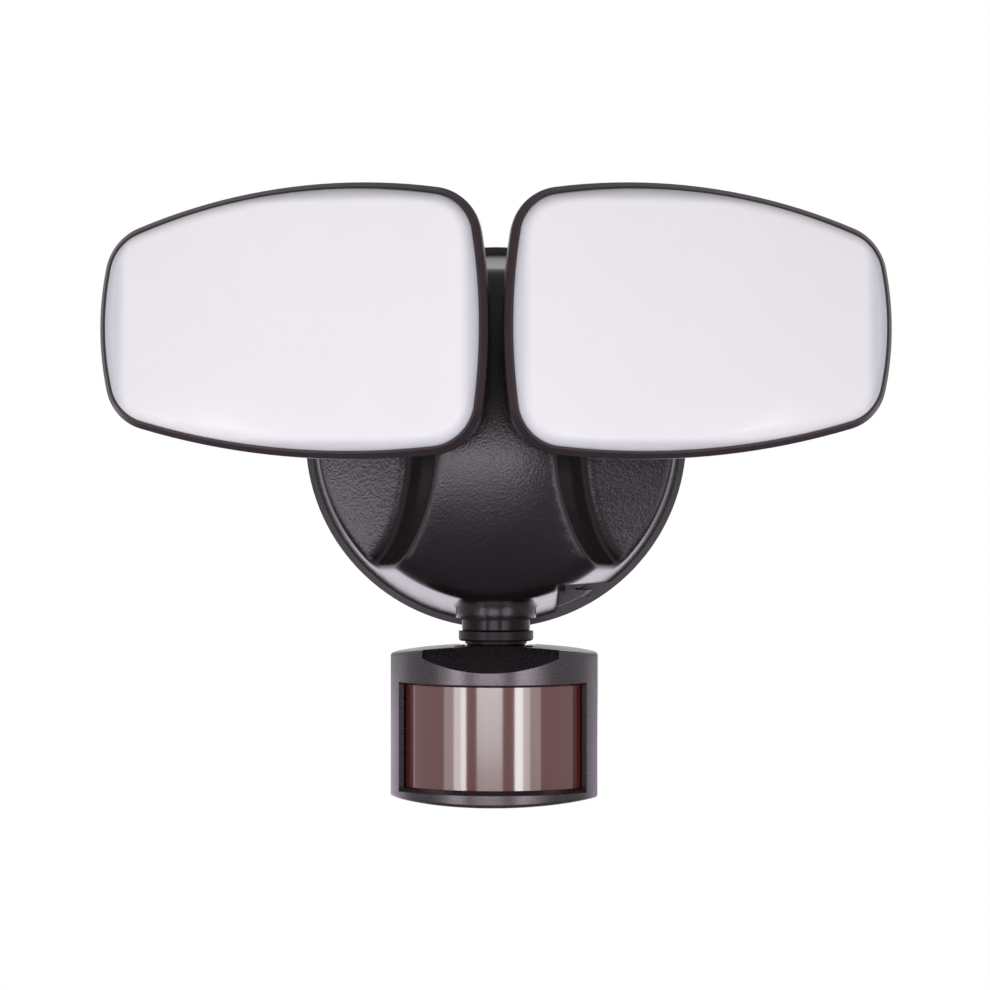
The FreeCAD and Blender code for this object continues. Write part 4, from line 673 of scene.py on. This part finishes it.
def coat(piece: bpy.types.Object, finish: Finish) -> None:
    """Gives a whole piece its finish.

    Args:
        piece: the piece's object.
        finish: the finish for all its faces.
    """
    piece.data.materials.clear()
    piece.data.materials.append(finish.material())
    LOG.info("dressed %s with %s", piece.name, finish.name)


def dress(node: str, finish: Finish) -> None:
    """Gives a CAD node its finish."""
    coat(frame["nodes"][node], finish)


def recast(node: str, name: str) -> bpy.types.Object:
    """Makes a welded, evenly shaded copy of a CAD node, which then stands for it.

    Args:
        node: the node's name.
        name: the new piece's name.

    Returns:
        The new piece, which rides on the node's body.
    """
    source = frame["nodes"][node]
    piece = bpy.data.objects.new(name, source.data.copy())
    bpy.context.scene.collection.objects.link(piece)
    bpy.ops.object.select_all(action="DESELECT")
    piece.select_set(True)
    bpy.context.view_layer.objects.active = piece
    bpy.ops.mesh.customdata_custom_splitnormals_clear()
    bpy.ops.object.mode_set(mode="EDIT")
    bpy.ops.mesh.select_all(action="SELECT")
    bpy.ops.mesh.remove_doubles(threshold=WELD_MM * MM)
    bpy.ops.object.mode_set(mode="OBJECT")
    bpy.ops.object.shade_smooth_by_angle(angle=math.radians(CREASE_DEGREES))
    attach(piece, source["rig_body"])
    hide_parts(node)
    return piece


class Side(Enum):
    """Which of the two flood heads."""

    LEFT = "left"
    RIGHT = "right"


# ---- sub-assemblies
@dataclass
class WallPlate:
    """Mounting plate with its foam gasket, ground screw and the sprung release latch."""

    latch_travel_mm: float = 2.0

    def build(self) -> None:
        """Dresses the plate's nodes."""
        dress("wall_gasket", Palette.foam)
        dress("mounting_plate", Palette.plate_plastic)
        dress("ground_screw", Palette.green_screw)
        dress("release_latch", Palette.plate_plastic)
        self.make_spring()

    def make_spring(self) -> None:
        """Makes the latch's return spring as a welded copy of its node, with a mesh of its own."""
        spring = recast("latch_spring", "latch_return_spring")
        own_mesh(spring)
        coat(spring, Palette.spring_steel)


@dataclass
class Canopy:
    """The domed cover and the LED driver inside it."""

    def build(self) -> None:
        """Dresses the canopy's nodes."""
        coat(recast("canopy", "canopy_shell"), Palette.canopy_coat)
        dress("driver_board", Palette.board)
        dress("driver_screws", Palette.zinc)
        dress("transformer", Palette.ferrite)
        dress("capacitors", Palette.sleeve)
        dress("terminal_block", Palette.terminal)


@dataclass
class FloodHead:
    """One flood head with the arm that carries it."""

    side: Side

    def build(self) -> None:
        """Dresses the head's nodes."""
        name = self.side.value
        dress(name + "_arm", Palette.powder_coat)
        dress(name + "_bezel", Palette.frame_plastic)
        low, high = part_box(name + "_lens")
        opal = replace(
            Palette.opal,
            name=name + "_opal_acrylic",
            centre=tuple((a + b) / 2 for a, b in zip(low, high)),
            reach=tuple((b - a) / 2 for a, b in zip(low, high)),
        )
        coat(recast(name + "_lens", name + "_diffuser"), opal)
        dress(name + "_lens_gasket", Palette.rubber)
        dress(name + "_head_housing", Palette.powder_coat)
        dress(name + "_bezel_screws", Palette.black_screw)
        dress(name + "_led_board", Palette.led_board)
        dress(name + "_led_chips", Palette.phosphor)
        dress(name + "_ball_ring", Palette.collar_plastic)
        dress(name + "_ball_liner", Palette.nylon)


@dataclass
class ArmSeats:
    """Seals and nuts where the arms pass through the canopy."""

    def build(self) -> None:
        """Dresses the seats' nodes."""
        dress("arm_seals", Palette.rubber)
        dress("arm_nuts", Palette.zinc)


@dataclass
class SensorNeck:
    """The short neck under the canopy with its turning collar and ball."""

    def build(self) -> None:
        """Dresses the neck's nodes."""
        dress("neck_seal", Palette.rubber)
        dress("sensor_neck", Palette.neck_plastic)
        dress("neck_nut", Palette.zinc)
        dress("neck_clip", Palette.spring_steel)
        dress("sensor_ball", Palette.collar_plastic)


@dataclass
class MotionSensor:
    """The sensor case with its lens, boards and controls."""

    def build(self) -> None:
        """Dresses the sensor's nodes."""
        dress("sensor_hood", Palette.sensor_plastic)
        dress("sensor_rear_cover", Palette.sensor_plastic)
        dress("pir_lens", Palette.sensor_window)
        dress("sensor_board", Palette.board)
        dress("pir_detector", Palette.nickel)
        dress("photocell", Palette.photocell)
        dress("control_board", Palette.board)
        dress("mode_switch", Palette.nylon)
        dress("time_dial", Palette.nylon)
        dress("range_dial", Palette.nylon)
        dress("case_screws", Palette.black_screw)


@dataclass
class Softbox:
    """One rectangular studio light: angles in degrees from its aim, sizes in metres, power in watts."""

    name: str
    azimuth: float
    elevation: float
    distance: float
    width: float
    height: float
    power: float

    def build(self, target: Vector) -> None:
        """Sets up the light.

        Args:
            target: the point it faces.
        """
        data = bpy.data.lights.new(self.name, "AREA")
        data.shape = "RECTANGLE"
        data.size = self.width
        data.size_y = self.height
        data.energy = self.power
        lamp = bpy.data.objects.new(self.name, data)
        bpy.context.scene.collection.objects.link(lamp)
        turn = math.radians(self.azimuth)
        lift = math.radians(self.elevation)
        away = Vector(
            (math.sin(turn) * math.cos(lift), -math.cos(turn) * math.cos(lift), math.sin(lift))
        )
        lamp.location = target + away * self.distance
        lamp.rotation_euler = away.to_track_quat("Z", "Y").to_euler()
        lamp.visible_camera = False


@dataclass
class Studio:
    """Camera, floor, background and lights."""

    camera_place: tuple[float, float, float] = (-0.00035, -1.150, -0.02015)
    view_width: float = 0.3482
    sensor_width: float = 36.0
    floor_level: float = -0.30
    floor_front: float = -1.8
    floor_back: float = 0.12
    floor_half_width: float = 1.5
    fill: float = 0.2
    # A card behind the light gives the canopy's flank its soft reflection.
    card_place: tuple[float, float, float] = (0.0, 0.25, -0.20)
    card_size: tuple[float, float] = (1.8, 0.18)
    card_glow: float = 2.3
    card_colour: str = "F8F0FC"
    aim: tuple[float, float, float] = (0.0, -0.04, -0.02)
    # Strips at both sides fade outwards, and the cards in front get weaker downwards.
    softboxes: list[Softbox] = field(
        default_factory=lambda: [
            Softbox("left_strip", -38.0, -7.0, 1.2, 0.13, 0.28, 1.14),
            Softbox("left_fade", -45.5, -7.0, 1.2, 0.18, 0.28, 1.03),
            Softbox("left_wing", -56.0, -7.0, 1.2, 0.26, 0.28, 0.46),
            Softbox("left_edge_light", -38.0, 2.2, 1.2, 0.10, 0.10, 1.1),
            Softbox("right_strip", 25.0, -7.0, 1.2, 0.20, 0.28, 1.94),
            Softbox("right_fade", 34.0, -7.0, 1.2, 0.18, 0.28, 0.79),
            Softbox("right_wing", 45.0, -7.0, 1.2, 0.26, 0.28, 0.46),
            Softbox("right_edge_light", 38.0, 2.2, 1.2, 0.10, 0.10, 1.1),
            Softbox("upper_card", -8.0, -2.2, 1.5, 0.78, 0.07, 3.6),
            Softbox("middle_card", -8.0, -4.6, 1.5, 0.78, 0.052, 0.83),
            Softbox("lower_card", -8.0, -6.9, 1.5, 0.78, 0.07, 0.95),
            Softbox("low_glow", -8.0, -13.0, 1.5, 0.78, 0.20, 1.9),
        ]
    )

    def build(self) -> None:
        """Sets up the whole studio."""
        self.make_camera()
        self.make_floor()
        self.make_background()
        self.make_rear_card()
        for softbox in self.softboxes:
            softbox.build(Vector(self.aim))
        bpy.context.scene.view_settings.view_transform = "Standard"
        LOG.info("studio ready")

    def make_camera(self) -> None:
        """Puts the camera where the photograph was taken from."""
        data = bpy.data.cameras.new("camera")
        data.sensor_width = self.sensor_width
        data.lens = self.sensor_width * -self.camera_place[1] / self.view_width
        data.clip_start = 0.01
        camera = bpy.data.objects.new("camera", data)
        camera.location = self.camera_place
        camera.rotation_euler = (math.pi / 2, 0.0, 0.0)
        bpy.context.scene.collection.objects.link(camera)
        bpy.context.scene.camera = camera

    def make_sheet(
        self,
        name: str,
        place: tuple[float, float, float],
        size: tuple[float, float],
        tilt: float,
    ) -> bpy.types.Object:
        """Makes a flat rectangle that belongs to the studio.

        Args:
            name: the object's name.
            place: its middle.
            size: its width and its length.
            tilt: how far it is turned up about the X axis, in radians.

        Returns:
            The sheet, without a material.
        """
        bpy.ops.object.select_all(action="DESELECT")
        bpy.ops.mesh.primitive_plane_add(size=1.0, location=place, rotation=(tilt, 0.0, 0.0))
        sheet = bpy.context.object
        sheet.name = name
        sheet.scale = (size[0], size[1], 1.0)
        bpy.ops.object.transform_apply(location=True, rotation=True, scale=True)
        return sheet

    def make_floor(self) -> None:
        """Lays a plain pale floor below the light, short enough to stay out of the front view."""
        middle = (self.floor_front + self.floor_back) / 2
        size = (2 * self.floor_half_width, self.floor_back - self.floor_front)
        floor = self.make_sheet("studio_floor", (0.0, middle, self.floor_level), size, 0.0)
        floor.data.materials.append(Palette.paper.material())

    def make_rear_card(self) -> None:
        """Hangs the card behind the light, which only shows in reflections."""
        card = self.make_sheet("studio_rear_card", self.card_place, self.card_size, math.pi / 2)
        glow = bpy.data.materials.new("rear_card_glow")
        glow.use_nodes = True
        tree = glow.node_tree
        tree.nodes.clear()
        light = add_node(
            tree,
            "ShaderNodeEmission",
            {"Color": linear(self.card_colour), "Strength": self.card_glow},
        )
        add_node(tree, "ShaderNodeOutputMaterial", links={"Surface": light.outputs[0]})
        card.data.materials.append(glow)
        card.visible_camera = False
        card.visible_shadow = False

    def make_background(self) -> None:
        """White behind the light and in its reflections, softer for the light it gives."""
        world = bpy.data.worlds.new("studio")
        world.use_nodes = True
        tree = world.node_tree
        tree.nodes.clear()
        path = add_node(tree, "ShaderNodeLightPath")
        seen = add_node(
            tree,
            "ShaderNodeMath",
            {"operation": "MAXIMUM"},
            {0: path.outputs["Is Camera Ray"], 1: path.outputs["Is Glossy Ray"]},
        )
        seen = add_node(
            tree,
            "ShaderNodeMath",
            {"operation": "MAXIMUM"},
            {0: seen.outputs[0], 1: path.outputs["Is Transmission Ray"]},
        )
        strength = add_node(
            tree,
            "ShaderNodeMapRange",
            {"To Min": self.fill, "To Max": 1.0},
            {"Value": seen.outputs[0]},
        )
        background = add_node(
            tree,
            "ShaderNodeBackground",
            {"Color": (1.0, 1.0, 1.0, 1.0)},
            {"Strength": strength.outputs["Result"]},
        )
        add_node(tree, "ShaderNodeOutputWorld", links={"Surface": background.outputs[0]})
        bpy.context.scene.world = world


def main() -> None:
    """Builds the light's looks piece by piece, then the studio round it."""
    assemblies = [
        WallPlate(),
        Canopy(),
        ArmSeats(),
        FloodHead(Side.LEFT),
        FloodHead(Side.RIGHT),
        SensorNeck(),
        MotionSensor(),
        Studio(),
    ]
    for assembly in assemblies:
        assembly.build()


if __name__ == "__main__":
    main()
